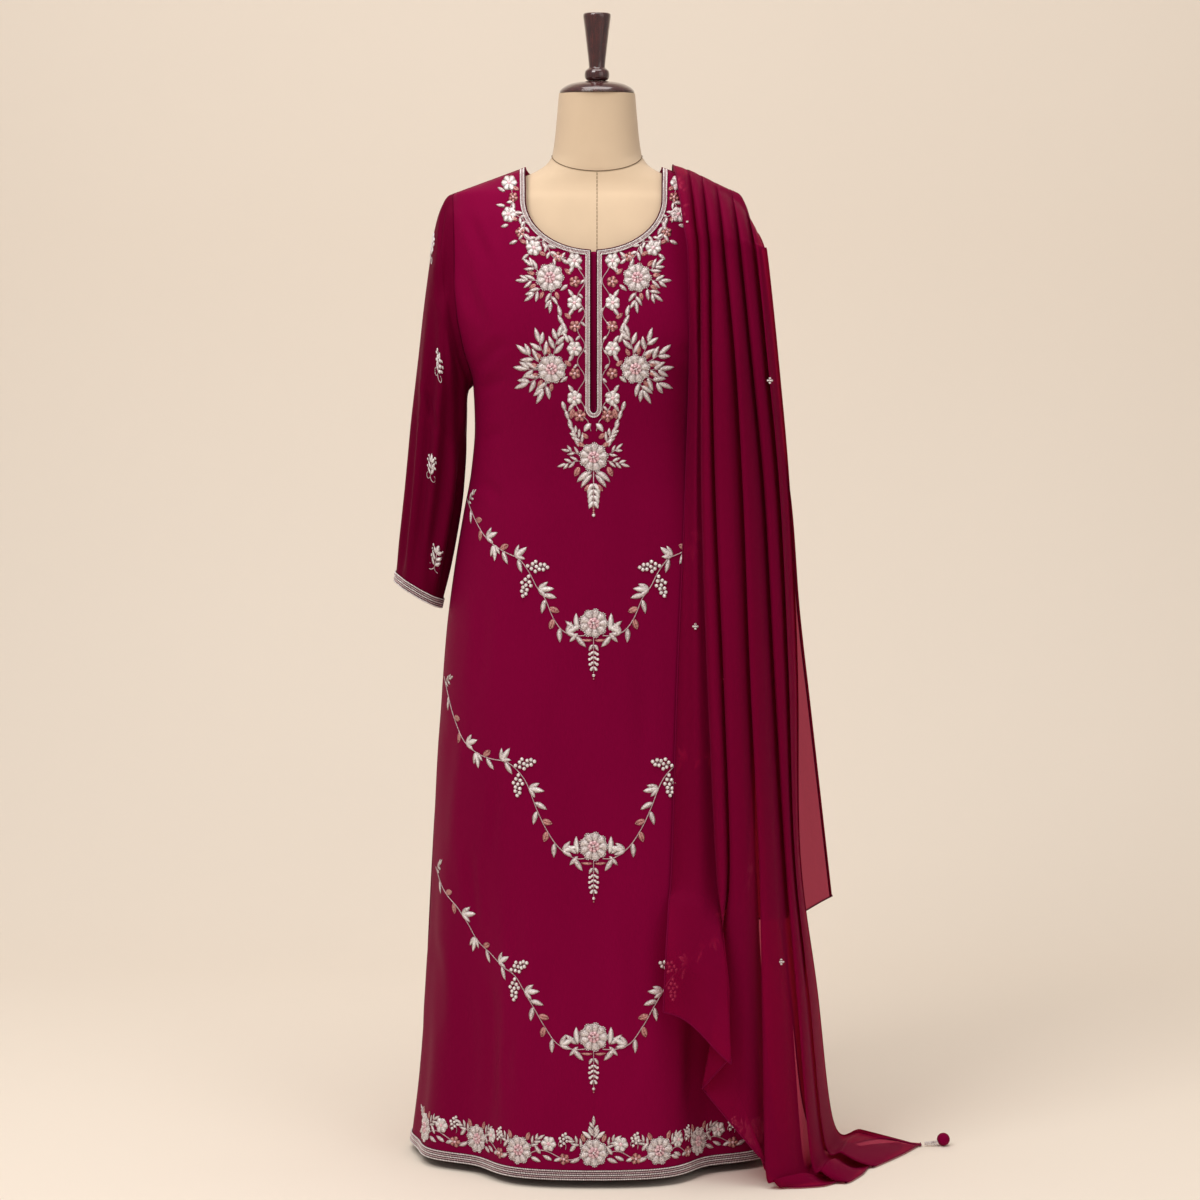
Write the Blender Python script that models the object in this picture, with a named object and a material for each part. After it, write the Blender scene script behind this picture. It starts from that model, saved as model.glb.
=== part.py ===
"""Salwar kameez suit: a floor-length kameez and its dupatta, worn by a limbless dress form on a stand.

Frame: metres, +Z up, the front faces -Y. The origin is on the floor, under the middle of the stand.
Right and left are the wearer's: the right sleeve is at -X and the left one, under the dupatta, at +X.
Every cloth piece is a closed wall: its outer surface is worked out from named sizes, then thickened inwards.
"""
import math

import bmesh
import bpy
from mathutils import Vector

# ---------------------------------------------------------------- driving dimensions
CLOTH = 0.002            # wall of every cloth piece
TRIM = 0.0012            # wall of bead edgings and bands
SEAM = 0.0007            # gap between two cut pieces
LIFT = 0.0004            # gap under a piece that lies on a panel
STACK_GAP = 0.0004       # gap between two pieces of the form and its stand

KAMEEZ_X = -0.0045       # the kameez sits a little to the wearer's right of the form's axis
HEM_Z = 0.012            # hem above the floor
UNDERARM_Z = 1.075
SHOULDER_Z = 1.339       # shoulder tip
NECK_POINT_X, NECK_POINT_Z = 0.093, 1.3746
SECTION_POWER = 2.2      # squareness of the body's cross-sections

SLIT_HALF_GAP = 0.004
SLIT_TIP_Z = 1.045
NECK_WIDTH = 0.092       # half width of the round neckline
NECK_SIDE_Z = 1.330      # where its straight sides begin
NECK_DROP = 0.0688       # from there down to its lowest point
BACK_NECK_Z = 1.348
SLIT_TOP_OUTER_Z = 1.235     # height at the armhole of the row that meets the top of the slit
NECK_SIDE_OUTER_Z = 1.310    # and of the row that meets the start of the neckline's straight sides
BACK_NECK_OUTER_Z = 1.290    # and of the row that meets the lowest point of the back neck

TRIM_WIDTH = 0.007
HEM_BAND_HEIGHT = 0.014
CUFF_BAND_HEIGHT = 0.015
PLACKET_HALF_WIDTH = 0.016
PLACKET_GAP = 0.0016
PLACKET_WALL = 0.0014

BASE_HEIGHT = 0.014
BOARD_RADIUS = 0.088
POLE_RADIUS = 0.0125
FORM_BOTTOM_Z = 0.735
BOARD_HEIGHT = 0.018
CAP_Z = 1.4745           # underside of the wooden cap, just above the neck

HALF_COLUMNS = 9         # grid columns on each half of a kameez panel
SLEEVE_COLUMNS = 16
FOLD_STEPS = 4           # grid columns from one dupatta fold to the next
LOWER_ROWS = (0.0, 0.08, 0.18, 0.30, 0.43, 0.56, 0.68, 0.78, 0.87, 0.955)   # panel rows above the hem
BACK_ROWS = ((1.075, 1.075), (1.120, 1.125), (1.175, 1.190), (1.230, 1.260), (1.270, 1.310))

# kameez cross-sections: half width, front depth and back depth at each height
KAMEEZ = (
    dict(z=0.000, half=0.2640, front=0.2050, back=0.2000),
    dict(z=0.110, half=0.2500, front=0.1970, back=0.1920),
    dict(z=0.240, half=0.2390, front=0.1880, back=0.1820),
    dict(z=0.400, half=0.2285, front=0.1770, back=0.1690),
    dict(z=0.560, half=0.2180, front=0.1660, back=0.1540),
    dict(z=0.730, half=0.2050, front=0.1560, back=0.1380),
    dict(z=0.830, half=0.1920, front=0.1490, back=0.1280),
    dict(z=0.900, half=0.1800, front=0.1430, back=0.1190),
    dict(z=0.960, half=0.1690, front=0.1370, back=0.1100),
    dict(z=1.020, half=0.1640, front=0.1350, back=0.1040),
    dict(z=1.075, half=0.1660, front=0.1370, back=0.1040),
    dict(z=1.130, half=0.1860, front=0.1370, back=0.1070),
    dict(z=1.180, half=0.2000, front=0.1310, back=0.1080),
    dict(z=1.250, half=0.2040, front=0.1130, back=0.1040),
    dict(z=1.300, half=0.2020, front=0.0950, back=0.0930),
    dict(z=1.325, half=0.1965, front=0.0810, back=0.0800),
    dict(z=1.339, half=0.1910, front=0.0720, back=0.0710),
    dict(z=1.350, half=0.1602, front=0.0650, back=0.0630),
    dict(z=1.3625, half=0.1268, front=0.0590, back=0.0570),
    dict(z=1.3746, half=0.0930, front=0.0550, back=0.0540),
)

# the armhole seam: its distance from the kameez's middle at each height, as a share of the half width there
ARMHOLE = (
    dict(z=1.075, share=1.000),
    dict(z=1.095, share=0.982),
    dict(z=1.130, share=0.957),
    dict(z=1.180, share=0.932),
    dict(z=1.250, share=0.928),
    dict(z=1.300, share=0.943),
    dict(z=1.339, share=1.000),
)

# soft troughs that run up the skirt: bearing from the front, spread, depth at the hem, height where they end
SKIRT_FOLDS = (
    dict(bearing=-52, spread=15, depth=0.034, top=0.62),
    dict(bearing=50, spread=15, depth=0.036, top=0.55),
    dict(bearing=-80, spread=9, depth=0.012, top=0.80),
    dict(bearing=82, spread=9, depth=0.012, top=0.70),
    dict(bearing=-112, spread=13, depth=0.022, top=0.75),
    dict(bearing=-150, spread=14, depth=0.028, top=0.60),
    dict(bearing=168, spread=13, depth=0.024, top=0.66),
    dict(bearing=128, spread=14, depth=0.026, top=0.70),
)

# sleeve sections from the shoulder down: the outer and inner edge of each ring, and its half depth
SLEEVE = (
    dict(out_x=0.2015, out_z=1.3330, in_x=0.1715, in_z=1.0700, depth=0.0560),
    dict(out_x=0.2120, out_z=1.3120, in_x=0.1730, in_z=1.0660, depth=0.0590),
    dict(out_x=0.2195, out_z=1.2820, in_x=0.1740, in_z=1.0610, depth=0.0610),
    dict(out_x=0.2250, out_z=1.2450, in_x=0.1745, in_z=1.0540, depth=0.0620),
    dict(out_x=0.2320, out_z=1.1950, in_x=0.1750, in_z=1.0440, depth=0.0620),
    dict(out_x=0.2380, out_z=1.1450, in_x=0.1755, in_z=1.0300, depth=0.0610),
    dict(out_x=0.2440, out_z=1.0900, in_x=0.1765, in_z=1.0080, depth=0.0595),
    dict(out_x=0.2500, out_z=1.0300, in_x=0.1785, in_z=0.9700, depth=0.0575),
    dict(out_x=0.2560, out_z=0.9700, in_x=0.1830, in_z=0.9200, depth=0.0550),
    dict(out_x=0.2625, out_z=0.9100, in_x=0.1920, in_z=0.8650, depth=0.0520),
    dict(out_x=0.2690, out_z=0.8550, in_x=0.2020, in_z=0.8150, depth=0.0490),
    dict(out_x=0.2755, out_z=0.8060, in_x=0.2120, in_z=0.7680, depth=0.0460),
)
LEFT_SLEEVE_WIDTH = 0.80   # the dupatta presses the left sleeve flatter towards the body

# dress form: half width, front and back depth at each height
FORM = (
    dict(z=0.735, half=0.1560, front=0.1080, back=0.0980),
    dict(z=0.820, half=0.1610, front=0.1150, back=0.1060),
    dict(z=0.900, half=0.1520, front=0.1120, back=0.1000),
    dict(z=1.000, half=0.1270, front=0.0980, back=0.0820),
    dict(z=1.080, half=0.1380, front=0.1140, back=0.0880),
    dict(z=1.150, half=0.1520, front=0.1230, back=0.0960),
    dict(z=1.220, half=0.1630, front=0.1130, back=0.0960),
    dict(z=1.280, half=0.1700, front=0.0940, back=0.0880),
    dict(z=1.315, half=0.1760, front=0.0780, back=0.0760),
    dict(z=1.331, half=0.1740, front=0.0690, back=0.0680),
    dict(z=1.342, half=0.1480, front=0.0610, back=0.0600),
    dict(z=1.355, half=0.1160, front=0.0560, back=0.0550),
    dict(z=1.368, half=0.0840, front=0.0540, back=0.0540),
    dict(z=1.378, half=0.0690, front=0.0535, back=0.0535),
    dict(z=1.390, half=0.0615, front=0.0530, back=0.0530),
    dict(z=1.410, half=0.0580, front=0.0515, back=0.0515),
    dict(z=1.440, half=0.0550, front=0.0500, back=0.0500),
    dict(z=1.474, half=0.0520, front=0.0480, back=0.0480),
)
FORM_COLUMNS = 40

# turned profiles, from the axis at the bottom to the axis at the top
CAP_PROFILE = (
    dict(r=0.0000, z=0.0000), dict(r=0.0500, z=0.0000), dict(r=0.0510, z=0.0016), dict(r=0.0490, z=0.0050),
    dict(r=0.0430, z=0.0098), dict(r=0.0330, z=0.0138), dict(r=0.0200, z=0.0160), dict(r=0.0000, z=0.0160),
)
FINIAL_PROFILE = (
    dict(r=0.0000, z=0.0000), dict(r=0.0120, z=0.0000), dict(r=0.0156, z=0.0030), dict(r=0.0168, z=0.0085),
    dict(r=0.0156, z=0.0140), dict(r=0.0120, z=0.0172), dict(r=0.0112, z=0.0185), dict(r=0.0112, z=0.0220),
    dict(r=0.0140, z=0.0480), dict(r=0.0188, z=0.0860), dict(r=0.0186, z=0.0898), dict(r=0.0160, z=0.0918),
    dict(r=0.0000, z=0.0920),
)
BASE_PROFILE = (
    dict(r=0.0000, z=0.0000), dict(r=0.1500, z=0.0000), dict(r=0.1500, z=0.0080), dict(r=0.1400, z=0.0110),
    dict(r=0.0300, z=0.0140), dict(r=0.0000, z=0.0140),
)

# dupatta front fall: one row for each fold's outer edge, from the inner selvedge to the outer one.
# Each has its x at three heights, then the point where it ends at the hem or meets the floor.
DRAPE_TOP_Z, DRAPE_MID_Z, DRAPE_KNEE_Z = 1.250, 0.930, 0.440
FRONT_FOLDS = (
    dict(name="selvedge", top=0.122, mid=0.119, knee=0.101, end=(0.0890, -0.2080, 0.2440)),
    dict(name="fold_1", top=0.137, mid=0.142, knee=0.165, end=(0.1790, -0.2250, 0.1870)),
    dict(name="fold_2", top=0.152, mid=0.166, knee=0.189, end=(0.1420, -0.1730, 0.1330)),
    dict(name="fold_3", top=0.170, mid=0.203, knee=0.234, end=(0.2420, -0.2080, 0.0180)),
    dict(name="fold_4", top=0.190, mid=0.231, knee=0.262, end=(0.2960, -0.1700, 0.0200)),
    dict(name="fold_5", top=0.212, mid=0.252, knee=0.276, end=(0.3160, -0.1150, 0.0200)),
    dict(name="outer", top=0.230, mid=0.264, knee=0.280, end=(0.3360, -0.0450, 0.0200)),
)
# dupatta tail on the floor: it goes on from the front fall's last folds, over a middle point, to its hem
TAIL_FOLDS = (
    dict(after="fold_3", middle=(0.2640, -0.2140, 0.0040), hem=(0.2930, -0.2030, 0.0022)),
    dict(after="fold_4", middle=(0.3200, -0.1800, 0.0050), hem=(0.3370, -0.1880, 0.0022)),
    dict(after="fold_5", middle=(0.3500, -0.1180, 0.0130), hem=(0.3800, -0.1050, 0.0022)),
    dict(after="outer", middle=(0.3900, 0.0600, 0.0120), hem=(0.4580, 0.0100, 0.0022)),
)
# dupatta shoulder stretch: x where each line leaves the front, crosses the top and meets the back fall
SHOULDER_LINES = (
    dict(front=0.122, top=0.1060, back=0.1080, top_z=1.3790),
    dict(front=0.137, top=0.1240, back=0.1280, top_z=1.3740),
    dict(front=0.152, top=0.1420, back=0.1480, top_z=1.3675),
    dict(front=0.170, top=0.1620, back=0.1700, top_z=1.3600),
    dict(front=0.190, top=0.1840, back=0.1920, top_z=1.3515),
    dict(front=0.212, top=0.2040, back=0.2140, top_z=1.3380),
    dict(front=0.230, top=0.2200, back=0.2320, top_z=1.3120),
)
# dupatta back fall: x at the top, at the hips, and its hem point
BACK_FOLDS = (
    dict(top=0.108, hip=0.090, end=(0.0700, 0.2180, 0.2500)),
    dict(top=0.128, hip=0.118, end=(0.1100, 0.2180, 0.2600)),
    dict(top=0.148, hip=0.148, end=(0.1500, 0.2150, 0.2750)),
    dict(top=0.170, hip=0.184, end=(0.2000, 0.2050, 0.2850)),
    dict(top=0.192, hip=0.222, end=(0.2500, 0.1850, 0.2950)),
    dict(top=0.214, hip=0.257, end=(0.2950, 0.1500, 0.3080)),
    dict(top=0.232, hip=0.285, end=(0.3360, 0.1050, 0.3430)),
)
BACK_HIP_Z = 0.760
FRONT_FOLD_REACH = 0.020     # the folds' outer edges stand this far out from what they hang over
BACK_FOLD_REACH = 0.018
TAIL_GAP = 0.0055            # the tail's first row lies this far under the front fall's end

TASSEL_CORNER = Vector((0.4640, 0.0120, 0.0045))
TASSEL_DIRECTION = Vector((0.98, 0.20, 0.0)).normalized()
TASSEL_BEADS_LENGTH, TASSEL_BEADS_RADIUS, TASSEL_NECK_RADIUS = 0.0160, 0.0040, 0.0028
TASSEL_BALL_RADIUS = 0.0092


# ---------------------------------------------------------------- small tools
def smooth(table, column, z):
    """Value of a table's column at height z, on a curve with no corners that doesn't overshoot."""
    rows = sorted(table, key=lambda row: row["z"])
    z = min(max(z, rows[0]["z"]), rows[-1]["z"])
    index = 0
    while index < len(rows) - 2 and z > rows[index + 1]["z"]:
        index += 1

    def rate(i):
        """Slope of the straight run that starts at row i."""
        return (rows[i + 1][column] - rows[i][column]) / (rows[i + 1]["z"] - rows[i]["z"])

    def slope(i):
        """Slope of the curve at row i: level at a peak, else between its neighbours' slopes."""
        if i == 0:
            return rate(0)
        if i == len(rows) - 1:
            return rate(i - 1)
        before, after = rate(i - 1), rate(i)
        if before * after <= 0.0:
            return 0.0
        return 2.0 * before * after / (before + after)

    low, high = rows[index], rows[index + 1]
    height = high["z"] - low["z"]
    t = (z - low["z"]) / height
    return ((2 * t**3 - 3 * t**2 + 1) * low[column] + (t**3 - 2 * t**2 + t) * height * slope(index)
            + (3 * t**2 - 2 * t**3) * high[column] + (t**3 - t**2) * height * slope(index + 1))


def lerp(a, b, t):
    return a + (b - a) * t


def ease(t):
    """0 to 1 with level ends."""
    t = min(max(t, 0.0), 1.0)
    return t * t * (3.0 - 2.0 * t)


def curve_points(points, steps):
    """Catmull-Rom curve through the points, with this many steps between two of them."""
    points = [Vector(p) for p in points]
    padded = [2 * points[0] - points[1]] + points + [2 * points[-1] - points[-2]]
    result = []
    for i in range(1, len(padded) - 2):
        a, b, c, d = padded[i - 1:i + 3]
        for step in range(steps):
            t = step / steps
            result.append(0.5 * (2 * b + (c - a) * t + (2 * a - 5 * b + 4 * c - d) * t**2
                                 + (3 * b - 3 * c + d - a) * t**3))
    result.append(points[-1])
    return result


def material(name, color, roughness, metallic=0.0):
    mat = bpy.data.materials.new(name)
    mat.use_nodes = True
    shader = mat.node_tree.nodes["Principled BSDF"]
    shader.inputs["Base Color"].default_value = (*color, 1.0)
    shader.inputs["Roughness"].default_value = roughness
    shader.inputs["Metallic"].default_value = metallic
    return mat


def add_object(name, bm, mat):
    mesh = bpy.data.meshes.new(name)
    bm.to_mesh(mesh)
    bm.free()
    mesh.materials.append(mat)
    mesh.shade_smooth()
    mesh.set_sharp_from_angle(angle=math.radians(50))
    obj = bpy.data.objects.new(name, mesh)
    bpy.context.scene.collection.objects.link(obj)
    return obj


def grid_faces(bm, rows, ring=False):
    """Faces of a grid of points: they face out when rows go up and columns anticlockwise from above."""
    verts = [[bm.verts.new(p) for p in row] for row in rows]
    columns = len(rows[0])
    last = columns if ring else columns - 1
    for low, high in zip(verts, verts[1:]):
        for i in range(last):
            j = (i + 1) % columns
            bm.faces.new((low[i], low[j], high[j], high[i]))
    return verts


def thicken(bm, wall, side=0):
    """Close an open surface into a wall: a second surface inside it, joined along every edge.

    A panel's wall stays on its own side of the seams, which all lie in the plane y = 0.
    """
    bm.normal_update()
    inner = {}
    for vert in list(bm.verts):
        point = vert.co - vert.normal * wall * min(vert.calc_shell_factor(), 1.3)
        if side:
            point.y = side * max(side * point.y, SEAM)
        inner[vert] = bm.verts.new(point)
    outer_faces = list(bm.faces)
    rims = [e.link_loops[0] for e in bm.edges if e.is_boundary]
    rim_pairs = [(loop.vert, loop.link_loop_next.vert) for loop in rims]
    for face in outer_faces:
        bm.faces.new([inner[v] for v in reversed(face.verts)])
    for a, b in rim_pairs:
        bm.faces.new((b, a, inner[a], inner[b]))


def add_wall(name, rows, mat, wall=CLOTH, ring=False):
    bm = bmesh.new()
    grid_faces(bm, rows, ring)
    thicken(bm, wall)
    return add_object(name, bm, mat)


def turned(name, profile, mat, location, steps=36):
    """A solid of revolution about Z, from a profile that starts and ends on the axis."""
    bm = bmesh.new()
    bottom = bm.verts.new((0.0, 0.0, profile[0]["z"]))
    top = bm.verts.new((0.0, 0.0, profile[-1]["z"]))
    angles = [2 * math.pi * k / steps for k in range(steps)]
    rings = grid_faces(bm, [[(p["r"] * math.cos(a), p["r"] * math.sin(a), p["z"]) for a in angles]
                            for p in profile[1:-1]], ring=True)
    for k in range(steps):
        bm.faces.new((bottom, rings[0][(k + 1) % steps], rings[0][k]))
        bm.faces.new((top, rings[-1][k], rings[-1][(k + 1) % steps]))
    obj = add_object(name, bm, mat)
    obj.location = location
    return obj


# ---------------------------------------------------------------- the kameez's surface
def fold_in(x, y, z):
    """Move a point of the skirt towards the axis where a soft trough runs."""
    bearing = math.degrees(math.atan2(x, -y))
    pull = 0.0
    for fold in SKIRT_FOLDS:
        away = (bearing - fold["bearing"] + 180.0) % 360.0 - 180.0
        fade = ease((fold["top"] - z) / fold["top"])
        pull += fold["depth"] * fade * math.exp(-(away / fold["spread"])**2)
    length = math.hypot(x, y)
    return x * (1 - pull / length), y * (1 - pull / length)


def section_y(x, z, side):
    """Depth of the body's surface at x: side is -1 for the front and +1 for the back."""
    half = smooth(KAMEEZ, "half", z)
    depth = smooth(KAMEEZ, "front" if side < 0 else "back", z)
    share = min(abs(x) / half, 1.0)
    return side * depth * (1 - share**SECTION_POWER)**(1 / SECTION_POWER)


def kameez_point(x, z, side):
    y = section_y(x, z, side)
    if z < UNDERARM_Z:
        x, y = fold_in(x, y, z)
    return Vector((x + KAMEEZ_X, y, z))


def outer_edge_x(z):
    """Side seam below the underarm, armhole seam above it."""
    half = smooth(KAMEEZ, "half", z)
    if z <= UNDERARM_Z:
        return half
    return half * smooth(ARMHOLE, "share", z)


def row_points(outer_z, inner_x, inner_z, side, hand):
    """One row on half a panel, from its outer seam to its inner edge. hand is -1 for the wearer's right.

    The last row is the shoulder seam, which lies in the plane y = 0 as the side seams do.
    """
    outer_x = outer_edge_x(outer_z)
    half = smooth(KAMEEZ, "half", outer_z)
    first = math.asin(min(outer_x / half, 1.0))
    last = math.asin(min(inner_x / half, 1.0))
    edge = half * math.sin(first)
    points = []
    for k in range(HALF_COLUMNS + 1):
        angle = lerp(first, last, k / HALF_COLUMNS)
        x = half * math.sin(angle)
        t = (edge - x) / (edge - inner_x)
        z = lerp(outer_z, inner_z, t)
        point = kameez_point(hand * x, z, side)
        if k == 0 and outer_z <= UNDERARM_Z:
            point.y += side * SEAM
        if outer_z == SHOULDER_Z:
            point.y = side * SEAM
        points.append(point)
    return points


def front_inner_edge():
    """Rows of the front from the slit's tip up: outer seam height, inner edge x and z."""
    rows = []
    slit_top = NECK_SIDE_Z - NECK_DROP
    slit_steps = 5
    for k in range(1, slit_steps + 1):
        t = k / slit_steps
        rows.append((lerp(SLIT_TIP_Z, SLIT_TOP_OUTER_Z, t), SLIT_HALF_GAP, lerp(SLIT_TIP_Z, slit_top, t)))
    curve_steps = 7
    for k in range(1, curve_steps + 1):
        angle = 0.5 * math.pi * k / curve_steps
        x = max(NECK_WIDTH * math.sin(angle), SLIT_HALF_GAP + 0.001)
        z = NECK_SIDE_Z - NECK_DROP * math.cos(angle)
        rows.append((lerp(SLIT_TOP_OUTER_Z, NECK_SIDE_OUTER_Z, k / curve_steps), x, z))
    side_steps = 3
    for k in range(1, side_steps + 1):
        t = k / side_steps
        rows.append((lerp(NECK_SIDE_OUTER_Z, SHOULDER_Z, t), lerp(NECK_WIDTH, NECK_POINT_X, t),
                     lerp(NECK_SIDE_Z, NECK_POINT_Z - LIFT, t)))
    return rows


def back_inner_edge():
    """Rows of the back above its last whole row: outer seam height, inner edge x and z."""
    rows = []
    steps = 5
    for k in range(1, steps + 1):
        angle = 0.5 * math.pi * k / steps
        x = NECK_POINT_X * math.sin(angle)
        z = NECK_POINT_Z - LIFT - (NECK_POINT_Z - BACK_NECK_Z) * math.cos(angle)
        rows.append((lerp(BACK_NECK_OUTER_Z, SHOULDER_Z, k / steps), x, z))
    return rows


def panel(name, side, mat):
    """A kameez panel: whole rows up to the slit or the back neck, then two halves with an opening between."""
    whole = [(HEM_Z + z, HEM_Z + z) for z in LOWER_ROWS]
    whole.append((SLIT_TIP_Z, SLIT_TIP_Z))
    opening = front_inner_edge()
    if side > 0:
        whole += BACK_ROWS
        whole.append((BACK_NECK_OUTER_Z, BACK_NECK_Z - LIFT))
        opening = back_inner_edge()
    bm = bmesh.new()
    middle = [bm.verts.new(row_points(outer_z, 0.0, inner_z, side, 1)[-1]) for outer_z, inner_z in whole]
    for hand in (-1, 1):
        rows = []
        for outer_z, inner_z in whole:
            rows.append(row_points(outer_z, 0.0, inner_z, side, hand))
        for outer_z, inner_x, inner_z in opening:
            rows.append(row_points(outer_z, inner_x, inner_z, side, hand))
        verts = []
        for number, row in enumerate(rows):
            line = [bm.verts.new(p) for p in row[:-1]]
            line.append(middle[number] if number < len(whole) else bm.verts.new(row[-1]))
            verts.append(line)
        for low, high in zip(verts, verts[1:]):
            for i in range(HALF_COLUMNS):
                corners = [low[i], low[i + 1], high[i + 1], high[i]]
                bm.faces.new(corners if hand * side > 0 else corners[::-1])
    thicken(bm, CLOTH, side)
    return add_object(name, bm, mat)


# ---------------------------------------------------------------- what lies on the kameez
def outward(points_on_edge, points_beside, distance):
    """Move edge points away from the panel, along the surface's normal."""
    moved = []
    count = len(points_on_edge)
    for k, (here, beside) in enumerate(zip(points_on_edge, points_beside)):
        along = points_on_edge[min(k + 1, count - 1)] - points_on_edge[max(k - 1, 0)]
        normal = along.cross(beside - here).normalized()
        if normal.y > 0.0:
            normal = -normal
        moved.append(here + normal * distance)
    return moved


def hem_band(name, side, mat):
    """The band round the hem, from the panel's lowest points moved out."""
    rows = []
    for height in (0.0, 0.5, 1.0):
        z = HEM_Z + height * HEM_BAND_HEIGHT
        left = row_points(z, 0.0, z, side, -1)
        right = row_points(z, 0.0, z, side, 1)
        row = left + right[-2::-1]
        moved = []
        for k, point in enumerate(row):
            along = row[min(k + 1, len(row) - 1)] - row[max(k - 1, 0)]
            normal = Vector((along.y, -along.x, 0.0)).normalized()
            if normal.dot(Vector((point.x, point.y, 0.0))) < 0:
                normal = -normal
            moved.append(point + normal * (LIFT + TRIM + 0.0008))
        if side > 0:
            moved.reverse()
        rows.append(moved)
    return add_wall(name, rows, mat, wall=TRIM)


def neck_edge_line(inset):
    """Points on the front this far from its edge: from one neck point, round the slit's tip, to the other.

    Both ends stop just short of the sloping shoulder seam.
    """
    end_gap = 0.0035
    shoulder_slope = 0.36
    tip_drop = 0.006
    right = []
    side_steps = 3
    for k in range(side_steps, 0, -1):
        t = k / side_steps
        right.append((lerp(NECK_WIDTH, NECK_POINT_X, t) + inset,
                      lerp(NECK_SIDE_Z, NECK_POINT_Z - end_gap - shoulder_slope * inset, t)))
    start = math.asin(min((SLIT_HALF_GAP + inset) / (NECK_WIDTH + inset), 1.0))
    steps = 14
    for k in range(steps, -1, -1):
        angle = lerp(start, 0.5 * math.pi, k / steps)
        right.append(((NECK_WIDTH + inset) * math.sin(angle),
                      NECK_SIDE_Z - (NECK_DROP + inset) * math.cos(angle)))
    top_z = right[-1][1]
    slit_steps = 8
    for k in range(1, slit_steps):
        right.append((SLIT_HALF_GAP + inset, lerp(top_z, SLIT_TIP_Z + tip_drop, k / slit_steps)))
    tip_steps = 4
    for k in range(tip_steps):
        angle = 0.5 * math.pi * k / tip_steps
        right.append(((SLIT_HALF_GAP + inset) * math.cos(angle),
                      SLIT_TIP_Z + tip_drop - (tip_drop + inset) * math.sin(angle)))
    whole = [(-x, z) for x, z in right]
    whole.append((0.0, SLIT_TIP_Z - inset))
    whole += [(x, z) for x, z in reversed(right)]
    return whole


def neck_trim(mat):
    """The bead edging: a strip on the front's surface beside the neckline and the slit."""
    edges = []
    for inset in (LIFT, LIFT + TRIM_WIDTH):
        edges.append([kameez_point(x, z, -1) for x, z in neck_edge_line(inset)])
    lifted = []
    for number, line in enumerate(edges):
        beside = edges[1 - number]
        lifted.append(outward(line, beside, LIFT + TRIM + 0.0012))
    return add_wall("neck_trim", lifted[::-1], mat, wall=TRIM)


def slit_placket(mat):
    """Strip of cloth behind the slit, moved in from the front's surface."""
    rows = []
    steps = 9
    for k in range(steps + 1):
        z = lerp(SLIT_TIP_Z - 0.014, NECK_SIDE_Z - NECK_DROP - 0.003, k / steps)
        row = []
        for share in (-1.0, -0.5, 0.0, 0.5, 1.0):
            point = kameez_point(share * PLACKET_HALF_WIDTH, z, -1)
            point.y += CLOTH + PLACKET_GAP
            row.append(point)
        rows.append(row)
    return add_wall("slit_placket", rows, mat, wall=PLACKET_WALL)


# ---------------------------------------------------------------- sleeves
def armhole_point(angle, hand):
    """Point of the armhole seam: angle 0 at the shoulder, then over the front, the underarm and the back."""
    middle = 0.5 * (SHOULDER_Z + UNDERARM_Z)
    z = middle + (SHOULDER_Z - middle) * math.cos(angle)
    side = -1 if math.sin(angle) >= 0 else 1
    x = outer_edge_x(z)
    y = section_y(x, z, side)
    return Vector((hand * (x + SEAM + 0.0008) + KAMEEZ_X, y, z - 0.0004))


def sleeve_ring(row, hand, width, grow=0.0):
    """One ring of the sleeve, in the plane through its outer and inner edge."""
    inner = Vector((row["in_x"], 0.0, row["in_z"]))
    outer = Vector((lerp(row["in_x"], row["out_x"], width), 0.0, row["out_z"]))
    centre = (inner + outer) / 2
    reach = (outer - inner) / 2
    points = []
    for k in range(SLEEVE_COLUMNS):
        angle = 2 * math.pi * k / SLEEVE_COLUMNS
        point = centre + reach * (1 + grow / reach.length) * math.cos(angle)
        point.y -= (row["depth"] + grow) * math.sin(angle)
        points.append(Vector((hand * point.x + KAMEEZ_X, point.y, point.z)))
    return points


def sleeve_rings(hand, width):
    """Rings from the armhole to the cuff: the armhole's own shape fades out over the first few."""
    angles = [2 * math.pi * k / SLEEVE_COLUMNS for k in range(SLEEVE_COLUMNS)]
    armhole = [armhole_point(a, hand) for a in angles]
    edge = outer_edge_x(SHOULDER_Z) + SEAM
    plain_row = dict(out_x=edge, out_z=SHOULDER_Z, in_x=outer_edge_x(UNDERARM_Z) + SEAM, in_z=UNDERARM_Z,
                     depth=SLEEVE[0]["depth"])
    plain = sleeve_ring(plain_row, hand, 1.0)
    rings = [armhole]
    for number, row in enumerate(SLEEVE):
        share = lerp(1.0, width, ease(number / 5))
        fade = 1 - ease((number + 0.6) / 6)
        ring = sleeve_ring(row, hand, share)
        rings.append([p + (a - b) * fade for p, a, b in zip(ring, armhole, plain)])
    return rings


def sleeve(name, hand, width, mat):
    rings = sleeve_rings(hand, width)[::-1]
    if hand > 0:
        rings = [[ring[-k % SLEEVE_COLUMNS] for k in range(SLEEVE_COLUMNS)] for ring in rings]
    return add_wall(name, rings, mat, ring=True)


def cuff_band(name, hand, width, mat):
    """The band at the sleeve's end, from its last ring moved out."""
    last, before = SLEEVE[-1], SLEEVE[-2]
    length = before["out_z"] - last["out_z"]
    rings = []
    for height in (0.0, 1.0):
        t = height * CUFF_BAND_HEIGHT / length
        row = {key: lerp(last[key], before[key], t) for key in last}
        rings.append(sleeve_ring(row, hand, width, grow=LIFT + TRIM + 0.0006))
    if hand > 0:
        rings = [[ring[-k % SLEEVE_COLUMNS] for k in range(SLEEVE_COLUMNS)] for ring in rings]
    return add_wall(name, rings, mat, wall=TRIM, ring=True)


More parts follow.
